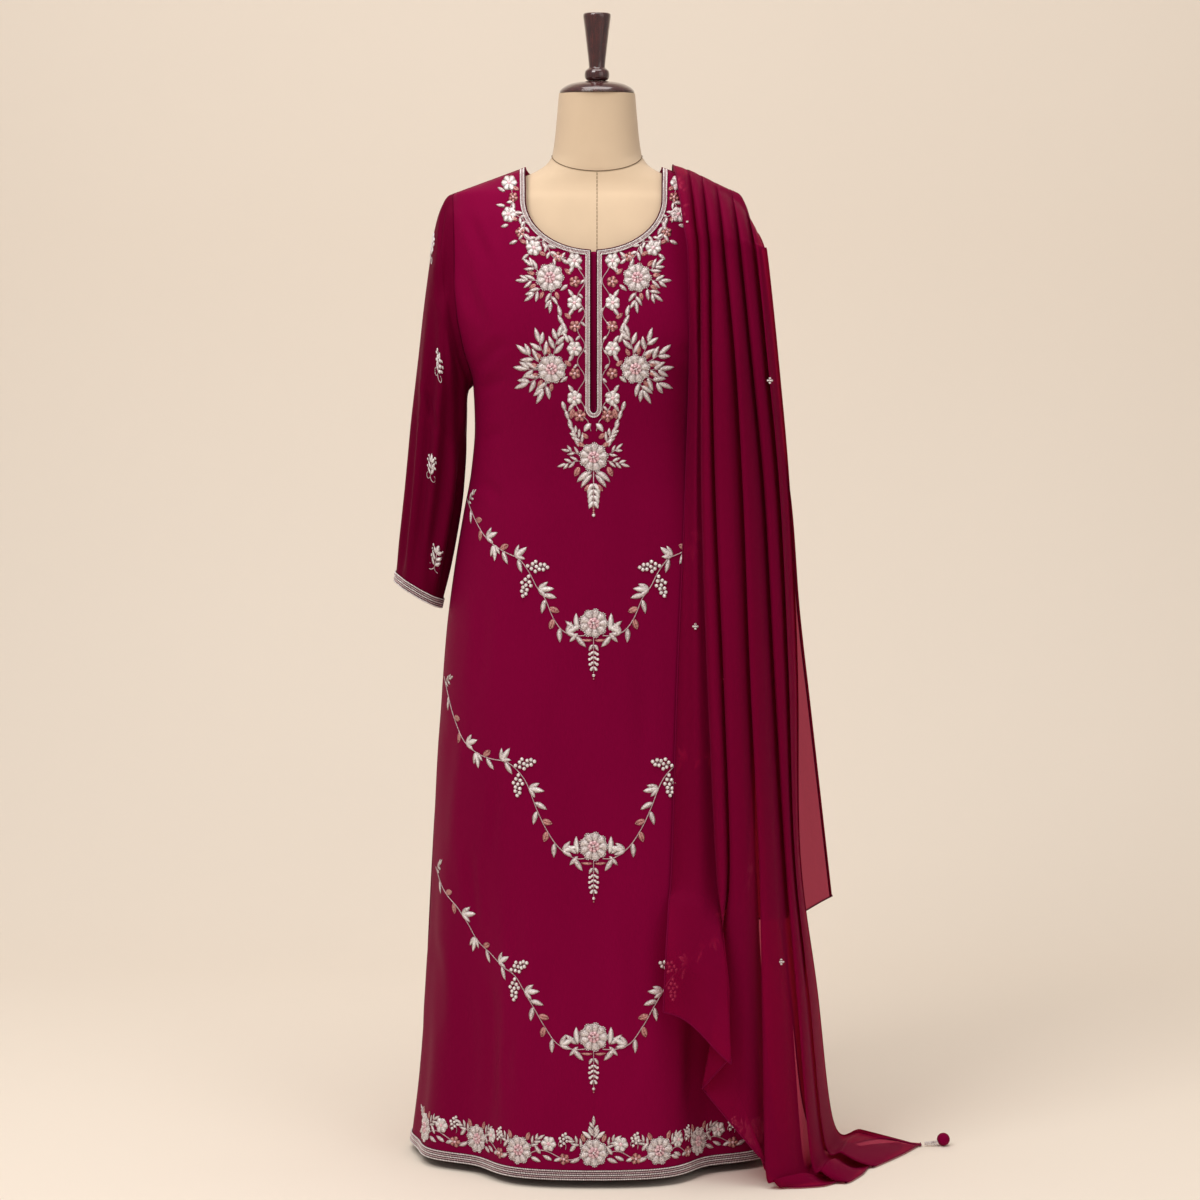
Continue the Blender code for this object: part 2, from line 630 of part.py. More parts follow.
# ---------------------------------------------------------------- dupatta
def drape_y(x, z, side):
    """Where the dupatta's folds touch what they hang over: a wider, rounder section than the kameez."""
    half = 0.300
    depth = smooth(KAMEEZ, "front" if side < 0 else "back", z) + 0.014
    return side * depth * math.sqrt(max(1 - (x / half)**2, 0.02))


def folded_row(ridges, depth, inward):
    """A row through the folds' outer edges, dipping between them by depth, or less where they are close."""
    points = []
    for k, ridge in enumerate(ridges):
        points.append(ridge)
        if k < len(ridges) - 1:
            spacing = abs(ridges[k + 1].x - ridge.x)
            points.append((ridge + ridges[k + 1]) / 2 + inward * min(depth, 0.8 * spacing))
    return curve_points(points, FOLD_STEPS // 2)


def front_fall(mat):
    rows = []
    heights = (DRAPE_TOP_Z - 3 * SEAM, 1.18, 1.09, 1.00, 0.90, 0.80, 0.70, 0.58, DRAPE_KNEE_Z)
    for z in heights:
        ridges = []
        for fold in FRONT_FOLDS:
            table = (dict(z=DRAPE_KNEE_Z, x=fold["knee"]), dict(z=DRAPE_MID_Z, x=fold["mid"]),
                     dict(z=DRAPE_TOP_Z, x=fold["top"]))
            x = smooth(table, "x", z)
            ridges.append(Vector((x, drape_y(x, z, -1) - FRONT_FOLD_REACH, z)))
        depth = lerp(0.016, 0.024, (DRAPE_TOP_Z - z) / (DRAPE_TOP_Z - DRAPE_KNEE_Z))
        rows.append((ridges, depth))
    knee = rows[-1][0]
    end_steps = 5
    for k in range(1, end_steps + 1):
        t = k / end_steps
        ridges = []
        for fold, start in zip(FRONT_FOLDS, knee):
            end = Vector(fold["end"])
            point = start.lerp(end, t)
            point.y = lerp(start.y, end.y, ease(t))
            ridges.append(point)
        rows.append((ridges, lerp(0.024, 0.002, ease(t))))
    inward = Vector((0.0, 1.0, 0.0))
    grid = [folded_row(ridges, depth, inward) for ridges, depth in rows]
    return add_wall("dupatta_front", grid[::-1], mat)


def shoulder_stretch(mat):
    """Over the shoulder, each line a quarter of a soft arch in front of the top and one behind it."""
    rows = []
    steps = 4
    for k in range(-steps, steps + 1):
        angle = 0.5 * math.pi * k / steps
        ridges = []
        for line in SHOULDER_LINES:
            side = -1 if k <= 0 else 1
            end_x = line["front"] if k <= 0 else line["back"]
            reach = abs(drape_y(end_x, DRAPE_TOP_Z, side)) + FRONT_FOLD_REACH
            share = abs(k) / steps
            x = lerp(line["top"], end_x, share**1.4)
            y = side * reach * abs(math.sin(angle))
            z = DRAPE_TOP_Z + (line["top_z"] - DRAPE_TOP_Z) * math.cos(angle)
            ridges.append(Vector((x, y, z)))
        inward = Vector((0.0, -math.sin(angle), -math.cos(angle)))
        depth = lerp(0.003, 0.014, abs(k) / steps)
        rows.append(folded_row(ridges, depth, inward))
    return add_wall("dupatta_shoulder", rows, mat)


def back_fall(mat):
    rows = []
    heights = (DRAPE_TOP_Z - 3 * SEAM, 1.15, 1.05, 0.94, 0.85, BACK_HIP_Z)
    for z in heights:
        ridges = []
        for fold in BACK_FOLDS:
            t = (DRAPE_TOP_Z - z) / (DRAPE_TOP_Z - BACK_HIP_Z)
            x = lerp(fold["top"], fold["hip"], ease(t))
            ridges.append(Vector((x, drape_y(x, z, 1) + BACK_FOLD_REACH, z)))
        rows.append((ridges, 0.014))
    hip = rows[-1][0]
    for k in range(1, 5):
        t = k / 4
        ridges = [start.lerp(Vector(fold["end"]), t) for fold, start in zip(BACK_FOLDS, hip)]
        rows.append((ridges, lerp(0.014, 0.010, t)))
    inward = Vector((0.0, -1.0, 0.0))
    grid = [folded_row(ridges, depth, inward) for ridges, depth in rows]
    return add_wall("dupatta_back", grid, mat)


def floor_tail(mat):
    """The stretch on the floor, from where it lands out to its hem."""
    ends = {fold["name"]: Vector(fold["end"]) for fold in FRONT_FOLDS}
    rows = []
    steps = 6
    for k in range(steps + 1):
        t = k / steps
        ridges = []
        for fold in TAIL_FOLDS:
            land = ends[fold["after"]] - Vector((0.0, 0.0, TAIL_GAP))
            middle, hem = Vector(fold["middle"]), Vector(fold["hem"])
            point = (1 - t)**2 * land + 2 * t * (1 - t) * middle + t**2 * hem
            point.z = max(point.z, CLOTH + 0.0002)
            ridges.append(point)
        row = []
        for here, following in zip(ridges, ridges[1:]):
            row += [here, (here + following) / 2]
        rows.append(row + [ridges[-1]])
    bm = bmesh.new()
    grid_faces(bm, rows)
    bm.normal_update()
    if sum(face.normal.z for face in bm.faces) < 0:
        bmesh.ops.reverse_faces(bm, faces=bm.faces)
    thicken_down(bm, CLOTH)
    return add_object("dupatta_tail", bm, mat)


def thicken_down(bm, wall):
    """As thicken, but straight down, so that no point goes below the floor."""
    lower = {v: bm.verts.new(v.co - Vector((0.0, 0.0, wall))) for v in list(bm.verts)}
    faces = list(bm.faces)
    pairs = [(e.link_loops[0].vert, e.link_loops[0].link_loop_next.vert) for e in bm.edges if e.is_boundary]
    for face in faces:
        bm.faces.new([lower[v] for v in reversed(face.verts)])
    for a, b in pairs:
        bm.faces.new((b, a, lower[a], lower[b]))


def tassel(silver, cloth):
    """Bead tube at the corner, then the ball."""
    start = TASSEL_CORNER + TASSEL_DIRECTION * 0.0012
    bm = bmesh.new()
    bmesh.ops.create_cone(bm, cap_ends=True, cap_tris=True, segments=14, radius1=TASSEL_NECK_RADIUS,
                          radius2=TASSEL_BEADS_RADIUS, depth=TASSEL_BEADS_LENGTH)
    beads = add_object("tassel_beads", bm, silver)
    beads.rotation_euler = TASSEL_DIRECTION.to_track_quat("Z", "Y").to_euler()
    beads.location = start + TASSEL_DIRECTION * TASSEL_BEADS_LENGTH / 2
    bm = bmesh.new()
    bmesh.ops.create_uvsphere(bm, u_segments=18, v_segments=12, radius=TASSEL_BALL_RADIUS)
    ball = add_object("tassel_ball", bm, cloth)
    ball.location = start + TASSEL_DIRECTION * (TASSEL_BEADS_LENGTH + TASSEL_BALL_RADIUS + 0.0004)
    ball.location.z = TASSEL_BALL_RADIUS + 0.0002


# ---------------------------------------------------------------- dress form and stand
def form_body(mat):
    """The form's body and neck, one closed smooth solid."""
    levels = sorted({row["z"] for row in FORM} | {0.775, 0.86, 0.95, 1.04, 1.115, 1.185, 1.25})
    rings = []
    for z in levels:
        half, front, back = (smooth(FORM, key, z) for key in ("half", "front", "back"))
        ring = []
        for k in range(FORM_COLUMNS):
            angle = 2 * math.pi * k / FORM_COLUMNS
            c, s = math.cos(angle), math.sin(angle)
            depth = back if s > 0 else front
            power = 2 / SECTION_POWER
            ring.append((half * math.copysign(abs(c)**power, c), depth * math.copysign(abs(s)**power, s), z))
        rings.append(ring)
    bm = bmesh.new()
    verts = grid_faces(bm, rings, ring=True)
    bottom = bm.verts.new((0.0, 0.0, levels[0]))
    top = bm.verts.new((0.0, 0.0, levels[-1]))
    for k in range(FORM_COLUMNS):
        j = (k + 1) % FORM_COLUMNS
        bm.faces.new((bottom, verts[0][j], verts[0][k]))
        bm.faces.new((top, verts[-1][k], verts[-1][j]))
    return add_object("form_body", bm, mat)


def form_and_stand(cloth_beige, wood, metal):
    form_body(cloth_beige)
    turned("neck_cap", CAP_PROFILE, wood, (0.0, 0.0, CAP_Z))
    turned("finial", FINIAL_PROFILE, wood, (0.0, 0.0, CAP_Z + CAP_PROFILE[-1]["z"] + STACK_GAP), steps=28)
    board = (dict(r=0.0, z=0.0), dict(r=BOARD_RADIUS, z=0.0), dict(r=BOARD_RADIUS, z=BOARD_HEIGHT),
             dict(r=0.0, z=BOARD_HEIGHT))
    board_z = FORM_BOTTOM_Z - STACK_GAP - BOARD_HEIGHT
    turned("form_board", board, wood, (0.0, 0.0, board_z))
    pole_low = BASE_HEIGHT + STACK_GAP
    pole_length = board_z - STACK_GAP - pole_low
    pole = (dict(r=0.0, z=0.0), dict(r=POLE_RADIUS, z=0.0), dict(r=POLE_RADIUS, z=pole_length),
            dict(r=0.0, z=pole_length))
    turned("stand_pole", pole, metal, (0.0, 0.0, pole_low), steps=20)
    turned("stand_base", BASE_PROFILE, metal, (0.0, 0.0, 0.0), steps=48)


# ---------------------------------------------------------------- build
def main():
    for old in list(bpy.data.objects):
        bpy.data.objects.remove(old, do_unlink=True)
    georgette = material("georgette", (0.19, 0.004, 0.045), 0.75)
    chiffon = material("chiffon", (0.23, 0.006, 0.060), 0.70)
    silver = material("silver_beads", (0.78, 0.72, 0.71), 0.35, 0.7)
    beige = material("form_cloth", (0.77, 0.62, 0.45), 0.90)
    wood = material("dark_wood", (0.045, 0.012, 0.012), 0.15)
    metal = material("stand_metal", (0.08, 0.07, 0.07), 0.35, 0.8)

    form_and_stand(beige, wood, metal)
    panel("kameez_front", -1, georgette)
    panel("kameez_back", 1, georgette)
    slit_placket(georgette)
    neck_trim(silver)
    hem_band("hem_band_front", -1, silver)
    hem_band("hem_band_back", 1, silver)
    sleeve("sleeve_right", -1, 1.0, georgette)
    sleeve("sleeve_left", 1, LEFT_SLEEVE_WIDTH, georgette)
    cuff_band("cuff_band_right", -1, 1.0, silver)
    cuff_band("cuff_band_left", 1, LEFT_SLEEVE_WIDTH, silver)
    front_fall(chiffon)
    shoulder_stretch(chiffon)
    back_fall(chiffon)
    floor_tail(chiffon)
    tassel(silver, georgette)


main()
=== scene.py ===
"""Looks of the salwar kameez suit: cloth shells, bead embroidery, the sheer dupatta and the dress form.

Everything is in metres in the CAD's frame: +Z up, the garment's front faces -Y, the wearer's left is at +X.
"""
import math

import bmesh
import bpy
import numpy as np
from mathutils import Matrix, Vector
from mathutils.bvhtree import BVHTree


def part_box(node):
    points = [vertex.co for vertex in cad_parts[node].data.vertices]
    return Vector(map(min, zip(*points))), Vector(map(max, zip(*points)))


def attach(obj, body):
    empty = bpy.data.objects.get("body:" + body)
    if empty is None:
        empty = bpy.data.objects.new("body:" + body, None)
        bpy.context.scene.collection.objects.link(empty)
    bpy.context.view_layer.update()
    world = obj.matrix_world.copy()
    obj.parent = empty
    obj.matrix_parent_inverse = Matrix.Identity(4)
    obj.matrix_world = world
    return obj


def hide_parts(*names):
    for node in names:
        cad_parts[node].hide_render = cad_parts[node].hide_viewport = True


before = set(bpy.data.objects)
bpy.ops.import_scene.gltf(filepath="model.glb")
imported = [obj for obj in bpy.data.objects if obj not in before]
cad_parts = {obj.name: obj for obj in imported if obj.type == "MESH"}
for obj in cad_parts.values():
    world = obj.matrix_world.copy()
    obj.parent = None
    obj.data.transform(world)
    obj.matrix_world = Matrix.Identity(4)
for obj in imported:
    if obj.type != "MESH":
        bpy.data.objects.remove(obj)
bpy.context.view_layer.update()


def table(columns, *rows):
    """Rows of values as dictionaries; columns names the values of every row."""
    return [dict(zip(columns.split(), row)) for row in rows]


# ---------------------------------------------------------------- sizes, as in the CAD
KAMEEZ_X = -0.0045
HEM_Z = 0.012
UNDERARM_Z = 1.075
SHOULDER_Z = 1.339
NECK_POINT_X, NECK_POINT_Z = 0.093, 1.3746
SECTION_POWER = 2.2
SECTION_SHARES = 1 - np.linspace(1.0, 0.0, 49)**2     # stations from the middle (0) to the side seam (1)
SECTION_Y = (1 - SECTION_SHARES**SECTION_POWER)**(1 / SECTION_POWER)
SLIT_HALF_GAP = 0.004
SLIT_TIP_Z = 1.045
NECK_WIDTH, NECK_SIDE_Z, NECK_DROP = 0.092, 1.330, 0.0688
BACK_NECK_Z = 1.348
# heights at the outer seam of the rows that end at the back neck, the slit's top and the neckline's side
BACK_NECK_ROW_Z, SLIT_ROW_Z, NECK_ROW_Z = 1.290, 1.235, 1.310
SEAM = 0.0005
CLOTH = 0.0010           # visible cloth wall
HEM_BAND_HEIGHT = 0.014
PANEL_COLUMNS = 52       # grid columns on each half of a panel
SLEEVE_COLUMNS = 72
SLEEVE_ROWS = 120

KAMEEZ = table(
    "z half front back",
    (0.000, 0.2640, 0.2050, 0.2000),
    (0.110, 0.2500, 0.1970, 0.1920),
    (0.240, 0.2390, 0.1880, 0.1820),
    (0.400, 0.2285, 0.1770, 0.1690),
    (0.560, 0.2180, 0.1660, 0.1540),
    (0.730, 0.2050, 0.1560, 0.1380),
    (0.830, 0.1920, 0.1490, 0.1280),
    (0.900, 0.1800, 0.1430, 0.1190),
    (0.960, 0.1690, 0.1370, 0.1100),
    (1.020, 0.1640, 0.1350, 0.1040),
    (1.075, 0.1660, 0.1370, 0.1040),
    (1.130, 0.1860, 0.1370, 0.1070),
    (1.180, 0.2000, 0.1310, 0.1080),
    (1.250, 0.2040, 0.1130, 0.1040),
    (1.300, 0.2020, 0.0950, 0.0930),
    (1.325, 0.1965, 0.0810, 0.0800),
    (1.339, 0.1910, 0.0720, 0.0710),
    (1.350, 0.1602, 0.0650, 0.0630),
    (1.3625, 0.1268, 0.0590, 0.0570),
    (1.3746, 0.0930, 0.0550, 0.0540))
ARMHOLE = table(
    "z share",
    (1.075, 1.000),
    (1.095, 0.982),
    (1.130, 0.957),
    (1.180, 0.932),
    (1.250, 0.928),
    (1.300, 0.943),
    (1.339, 1.000))
SKIRT_FOLDS = table(
    "bearing spread depth top",
    (-52, 15, 0.034, 0.62),
    (50, 15, 0.036, 0.55),
    (-80, 9, 0.012, 0.80),
    (82, 9, 0.012, 0.70),
    (-112, 13, 0.022, 0.75),
    (-150, 14, 0.028, 0.60),
    (168, 13, 0.024, 0.66),
    (128, 14, 0.026, 0.70))
SLEEVE = table(
    "out_x out_z in_x in_z depth",
    (0.2015, 1.3330, 0.1715, 1.0700, 0.0560),
    (0.2120, 1.3120, 0.1730, 1.0660, 0.0590),
    (0.2195, 1.2820, 0.1740, 1.0610, 0.0610),
    (0.2250, 1.2450, 0.1745, 1.0540, 0.0620),
    (0.2320, 1.1950, 0.1750, 1.0440, 0.0620),
    (0.2380, 1.1450, 0.1755, 1.0300, 0.0610),
    (0.2440, 1.0900, 0.1765, 1.0080, 0.0595),
    (0.2500, 1.0300, 0.1785, 0.9700, 0.0575),
    (0.2560, 0.9700, 0.1830, 0.9200, 0.0550),
    (0.2625, 0.9100, 0.1920, 0.8650, 0.0520),
    (0.2690, 0.8550, 0.2020, 0.8150, 0.0490),
    (0.2755, 0.8060, 0.2120, 0.7680, 0.0460))
LEFT_SLEEVE_WIDTH = 0.80

# creases placed on the kameez: a soft trough from one point to another, seen from its own side
CREASES = table(
    "side x1 z1 x2 z2 width depth",
    (-1, -0.171, 0.460, -0.178, 0.330, 0.0070, 0.0026),
    (-1, -0.196, 0.640, -0.212, 0.400, 0.0090, 0.0024),
    (-1, -0.222, 0.330, -0.228, 0.160, 0.0080, 0.0030),
    (-1, -0.118, 0.210, -0.122, 0.120, 0.0080, 0.0020),
    (-1, -0.150, 0.300, -0.160, 0.050, 0.0120, 0.0035),
    (-1, -0.100, 0.420, -0.112, 0.240, 0.0110, 0.0018),
    (-1, -0.148, 0.820, -0.160, 0.640, 0.0100, 0.0016),
    (-1, -0.134, 0.560, -0.142, 0.430, 0.0070, 0.0016),
    (-1, -0.060, 0.330, -0.066, 0.090, 0.0140, 0.0018),
    (-1, 0.052, 0.400, 0.058, 0.120, 0.0130, 0.0018),
    (-1, 0.060, 0.760, 0.070, 0.560, 0.0120, 0.0014),
    (-1, -0.040, 0.700, -0.046, 0.540, 0.0130, 0.0010),
    (-1, -0.166, 1.105, -0.112, 1.140, 0.0080, 0.0026),
    (-1, -0.160, 1.070, -0.118, 1.088, 0.0070, 0.0020),
    (-1, -0.158, 1.000, -0.120, 1.018, 0.0080, 0.0018),
    (-1, -0.156, 0.950, -0.126, 0.925, 0.0080, 0.0018),
    (-1, -0.176, 1.250, -0.152, 1.150, 0.0090, 0.0022),
    (-1, -0.170, 1.325, -0.146, 1.235, 0.0080, 0.0018),
    (-1, -0.120, 1.345, -0.128, 1.260, 0.0080, 0.0014),
    (-1, 0.166, 1.105, 0.116, 1.135, 0.0080, 0.0022),
    (-1, 0.158, 1.010, 0.124, 1.022, 0.0080, 0.0016),
    (-1, 0.200, 0.520, 0.214, 0.260, 0.0100, 0.0024),
    (-1, 0.140, 0.340, 0.152, 0.060, 0.0120, 0.0032),
    (1, -0.150, 1.110, -0.090, 1.150, 0.0090, 0.0026),
    (1, 0.150, 1.100, 0.094, 1.132, 0.0090, 0.0024),
    (1, -0.140, 0.985, -0.060, 0.960, 0.0100, 0.0022),
    (1, 0.142, 0.965, 0.070, 0.950, 0.0090, 0.0020),
    (1, -0.030, 0.940, 0.060, 0.925, 0.0110, 0.0018),
    (1, -0.120, 0.820, -0.138, 0.420, 0.0140, 0.0030),
    (1, -0.040, 0.720, -0.050, 0.260, 0.0150, 0.0032),
    (1, 0.050, 0.760, 0.062, 0.360, 0.0130, 0.0026),
    (1, 0.126, 0.640, 0.150, 0.200, 0.0150, 0.0032),
    (1, -0.190, 0.560, -0.206, 0.200, 0.0130, 0.0030))

# soft folds along a sleeve: bearing round it (0 outer edge, 90 front), from and to as shares of its length
SLEEVE_FOLDS = table(
    "start end low high spread depth",
    (60, 80, 0.30, 1.02, 12, 0.0075),
    (110, 104, 0.36, 0.98, 11, 0.0080),
    (28, 42, 0.52, 1.02, 11, 0.0055),
    (136, 132, 0.16, 0.72, 13, 0.0085),
    (86, 58, 0.08, 0.36, 10, 0.0045),
    (46, 98, 0.56, 0.66, 9, 0.0036),
    (20, 60, 0.06, 0.22, 8, 0.0032),
    (158, 150, 0.48, 1.02, 11, 0.0060),
    (250, 238, 0.24, 0.96, 14, 0.0070),
    (296, 306, 0.38, 1.02, 12, 0.0062),
    (214, 222, 0.30, 0.80, 11, 0.0055),
    (330, 318, 0.10, 0.50, 11, 0.0040))
GATHERS = 26             # small gathers round the sleeve's head
GATHER_DEPTH = 0.0011


# ---------------------------------------------------------------- numbers
def smooth_value(table, column, z):
    """The CAD's curve through a table's column, with no corners and no overshoot."""
    rows = sorted(table, key=lambda row: row["z"])
    z = min(max(z, rows[0]["z"]), rows[-1]["z"])
    index = 0
    while index < len(rows) - 2 and z > rows[index + 1]["z"]:
        index += 1

    def rate(i):
        return (rows[i + 1][column] - rows[i][column]) / (rows[i + 1]["z"] - rows[i]["z"])

    def slope(i):
        if i == 0:
            return rate(0)
        if i == len(rows) - 1:
            return rate(i - 1)
        before, after = rate(i - 1), rate(i)
        return 0.0 if before * after <= 0.0 else 2.0 * before * after / (before + after)

    low, high = rows[index], rows[index + 1]
    height = high["z"] - low["z"]
    t = (z - low["z"]) / height
    return ((2 * t**3 - 3 * t**2 + 1) * low[column] + (t**3 - 2 * t**2 + t) * height * slope(index)
            + (3 * t**2 - 2 * t**3) * high[column] + (t**3 - t**2) * height * slope(index + 1))


def sampled(table, column, steps=700):
    """A fast function of height for arrays, from the table's smooth curve."""
    low, high = min(r["z"] for r in table), max(r["z"] for r in table)
    heights = np.linspace(low, high, steps)
    values = np.array([smooth_value(table, column, z) for z in heights])
    return lambda z: np.interp(z, heights, values)


def lerp(a, b, t):
    return a + (b - a) * t


def ease(t):
    t = np.clip(t, 0.0, 1.0)
    return t * t * (3.0 - 2.0 * t)


def spline(points, samples):
    """Points spread evenly in parameter on a Catmull-Rom curve through the given points."""
    p = np.asarray(points, float)
    p = np.vstack([2 * p[0] - p[1], p, 2 * p[-1] - p[-2]])
    t = np.linspace(0, len(p) - 3, samples)
    k = np.minimum(t.astype(int), len(p) - 4)
    f = (t - k)[:, None]
    a, b, c, d = p[k], p[k + 1], p[k + 2], p[k + 3]
    return 0.5 * (2 * b + (c - a) * f + (2 * a - 5 * b + 4 * c - d) * f**2 + (3 * b - 3 * c + d - a) * f**3)


HALF = sampled(KAMEEZ, "half")
DEPTH = {-1: sampled(KAMEEZ, "front"), 1: sampled(KAMEEZ, "back")}
ARM_SHARE = sampled(ARMHOLE, "share")


# ---------------------------------------------------------------- meshes
def add_piece(name, verts, faces, mat, nodes=()):
    """A visible piece on the root body, in place of the CAD nodes named."""
    mesh = bpy.data.meshes.new(name)
    mesh.from_pydata([tuple(v) for v in verts], [], [tuple(int(i) for i in f) for f in faces])
    mesh.validate()
    for each in mat if isinstance(mat, list) else [mat]:
        mesh.materials.append(each)
    mesh.shade_smooth()
    obj = bpy.data.objects.new(name, mesh)
    bpy.context.scene.collection.objects.link(obj)
    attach(obj, "root")
    if nodes:
        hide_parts(*nodes)
    return obj


def grid_quads(rows, columns, ring=False, first=0):
    """Quads of a grid whose points are numbered row by row."""
    faces = []
    last = columns if ring else columns - 1
    for r in range(rows - 1):
        for c in range(last):
            d = (c + 1) % columns
            a, b = first + r * columns, first + (r + 1) * columns
            faces.append((a + c, a + d, b + d, b + c))
    return faces


def capped_tube(rows, columns):
    """Faces of a grid that closes on itself, with a face at each end."""
    first_end, last_end = range(columns), range((rows - 1) * columns, rows * columns)
    return grid_quads(rows, columns, ring=True) + [tuple(first_end)[::-1], tuple(last_end)]


def face_outwards(obj):
    """Turn a closed piece's faces to the outside."""
    bm = bmesh.new()
    bm.from_mesh(obj.data)
    bmesh.ops.recalc_face_normals(bm, faces=bm.faces)
    bm.to_mesh(obj.data)
    bm.free()


def thicken(obj, wall, side=0):
    """Close an open surface into a wall, inwards. A panel's wall stays on its side of the seam plane."""
    bm = bmesh.new()
    bm.from_mesh(obj.data)
    bm.normal_update()
    inner = {}
    for vert in list(bm.verts):
        point = vert.co - vert.normal * wall
        if side:
            point.y = side * max(side * point.y, SEAM)
        inner[vert] = bm.verts.new(point)
    faces = list(bm.faces)
    pairs = [(e.link_loops[0].vert, e.link_loops[0].link_loop_next.vert) for e in bm.edges if e.is_boundary]
    for face in faces:
        bm.faces.new([inner[v] for v in reversed(face.verts)]).smooth = True
    for a, b in pairs:
        bm.faces.new((b, a, inner[a], inner[b]))
    bm.to_mesh(obj.data)
    bm.free()


def normals_of(place, a, b, step=0.0006):
    """Unit normals of a surface given as place(a, b), to either side."""
    da = place(a + step, b) - place(a - step, b)
    db = place(a, b + step) - place(a, b - step)
    n = np.cross(da, db)
    length = np.linalg.norm(n, axis=-1, keepdims=True)
    return n / np.maximum(length, 1e-12)


def turned(normals, outward):
    """The normals, each turned round where its outward is negative."""
    return normals * np.where(outward < 0, -1.0, 1.0)[:, None]


# ---------------------------------------------------------------- materials
def new_material(name, color, roughness, metallic=0.0, **sockets):
    mat = bpy.data.materials.new(name)
    mat.use_nodes = True
    tree = mat.node_tree
    shader = tree.nodes["Principled BSDF"]
    shader.inputs["Base Color"].default_value = (*color, 1.0)
    shader.inputs["Roughness"].default_value = roughness
    shader.inputs["Metallic"].default_value = metallic
    for key, value in sockets.items():
        shader.inputs[key.replace("_", " ")].default_value = value
    return mat, tree, shader


def texture_space(tree, scale):
    """Object coordinates, stretched by scale."""
    coord = tree.nodes.new("ShaderNodeTexCoord")
    mapping = tree.nodes.new("ShaderNodeMapping")
    mapping.inputs["Scale"].default_value = scale
    tree.links.new(coord.outputs["Object"], mapping.inputs["Vector"])
    return mapping.outputs["Vector"]


def noise(tree, vector, scale, detail=2.0, roughness=0.5):
    node = tree.nodes.new("ShaderNodeTexNoise")
    node.inputs["Scale"].default_value = scale
    node.inputs["Detail"].default_value = detail
    node.inputs["Roughness"].default_value = roughness
    tree.links.new(vector, node.inputs["Vector"])
    return node.outputs["Fac"]


def ramp(tree, fac, stops):
    """Colours along a ramp: (position, (r, g, b)) pairs."""
    node = tree.nodes.new("ShaderNodeValToRGB")
    elements = node.color_ramp.elements
    while len(elements) > 1:
        elements.remove(elements[-1])
    elements[0].position = stops[0][0]
    elements[0].color = (*stops[0][1], 1.0)
    for position, color in stops[1:]:
        elements.new(position).color = (*color, 1.0)
    tree.links.new(fac, node.inputs["Fac"])
    return node.outputs["Color"]


def bump(tree, shader, height, strength, distance):
    node = tree.nodes.new("ShaderNodeBump")
    node.inputs["Strength"].default_value = strength
    node.inputs["Distance"].default_value = distance
    tree.links.new(height, node.inputs["Height"])
    tree.links.new(node.outputs["Normal"], shader.inputs["Normal"])
    return node


def add_heights(tree, first, second, share):
    """first plus share times second."""
    node = tree.nodes.new("ShaderNodeMath")
    node.operation = "MULTIPLY_ADD"
    node.inputs[1].default_value = share
    tree.links.new(second, node.inputs[0])
    tree.links.new(first, node.inputs[2])
    return node.outputs[0]


def scaled_color(color, factor):
    return tuple(min(c * factor, 1.0) for c in color)


def cloth_material(name, color, streak, grain, roughness, sheen):
    """Crepe cloth: long crinkled grain, a fine weave, and slow changes of tone."""
    mat, tree, shader = new_material(name, color, roughness, Sheen_Weight=sheen, Sheen_Roughness=0.35)
    shader.inputs["Sheen Tint"].default_value = (0.90, 0.08, 0.26, 1.0)
    shader.inputs["Specular Tint"].default_value = (0.90, 0.08, 0.26, 1.0)
    shader.inputs["Specular IOR Level"].default_value = 0.08
    slow = noise(tree, texture_space(tree, (3.2, 3.2, 1.3)), 1.0, 3.0)
    crepe = noise(tree, texture_space(tree, (1 / grain, 1 / grain, 1 / streak)), 1.0, 2.0, 0.6)
    weave = noise(tree, texture_space(tree, (1900, 1900, 1500)), 1.0, 1.0)
    tone = add_heights(tree, slow, crepe, 0.35)
    tree.links.new(ramp(tree, tone, ((0.35, scaled_color(color, 0.82)), (0.62, color),
                                     (0.95, scaled_color(color, 1.16)))), shader.inputs["Base Color"])
    bump(tree, shader, add_heights(tree, crepe, weave, 0.30), 0.35, 0.0005)
    return mat


def sheer_material(name, color, through, cover, streak, grain):
    """Chiffon: cloth as above, with light coming through it in its own colour."""
    mat = cloth_material(name, color, streak, grain, roughness=0.62, sheen=0.10)
    tree = mat.node_tree
    shader = tree.nodes["Principled BSDF"]
    output = tree.nodes["Material Output"]
    clear = tree.nodes.new("ShaderNodeBsdfTransparent")
    clear.inputs["Color"].default_value = (*through, 1.0)
    mix = tree.nodes.new("ShaderNodeMixShader")
    mix.inputs["Fac"].default_value = cover
    tree.links.new(clear.outputs["BSDF"], mix.inputs[1])
    tree.links.new(shader.outputs["BSDF"], mix.inputs[2])
    tree.links.new(mix.outputs["Shader"], output.inputs["Surface"])
    return mat


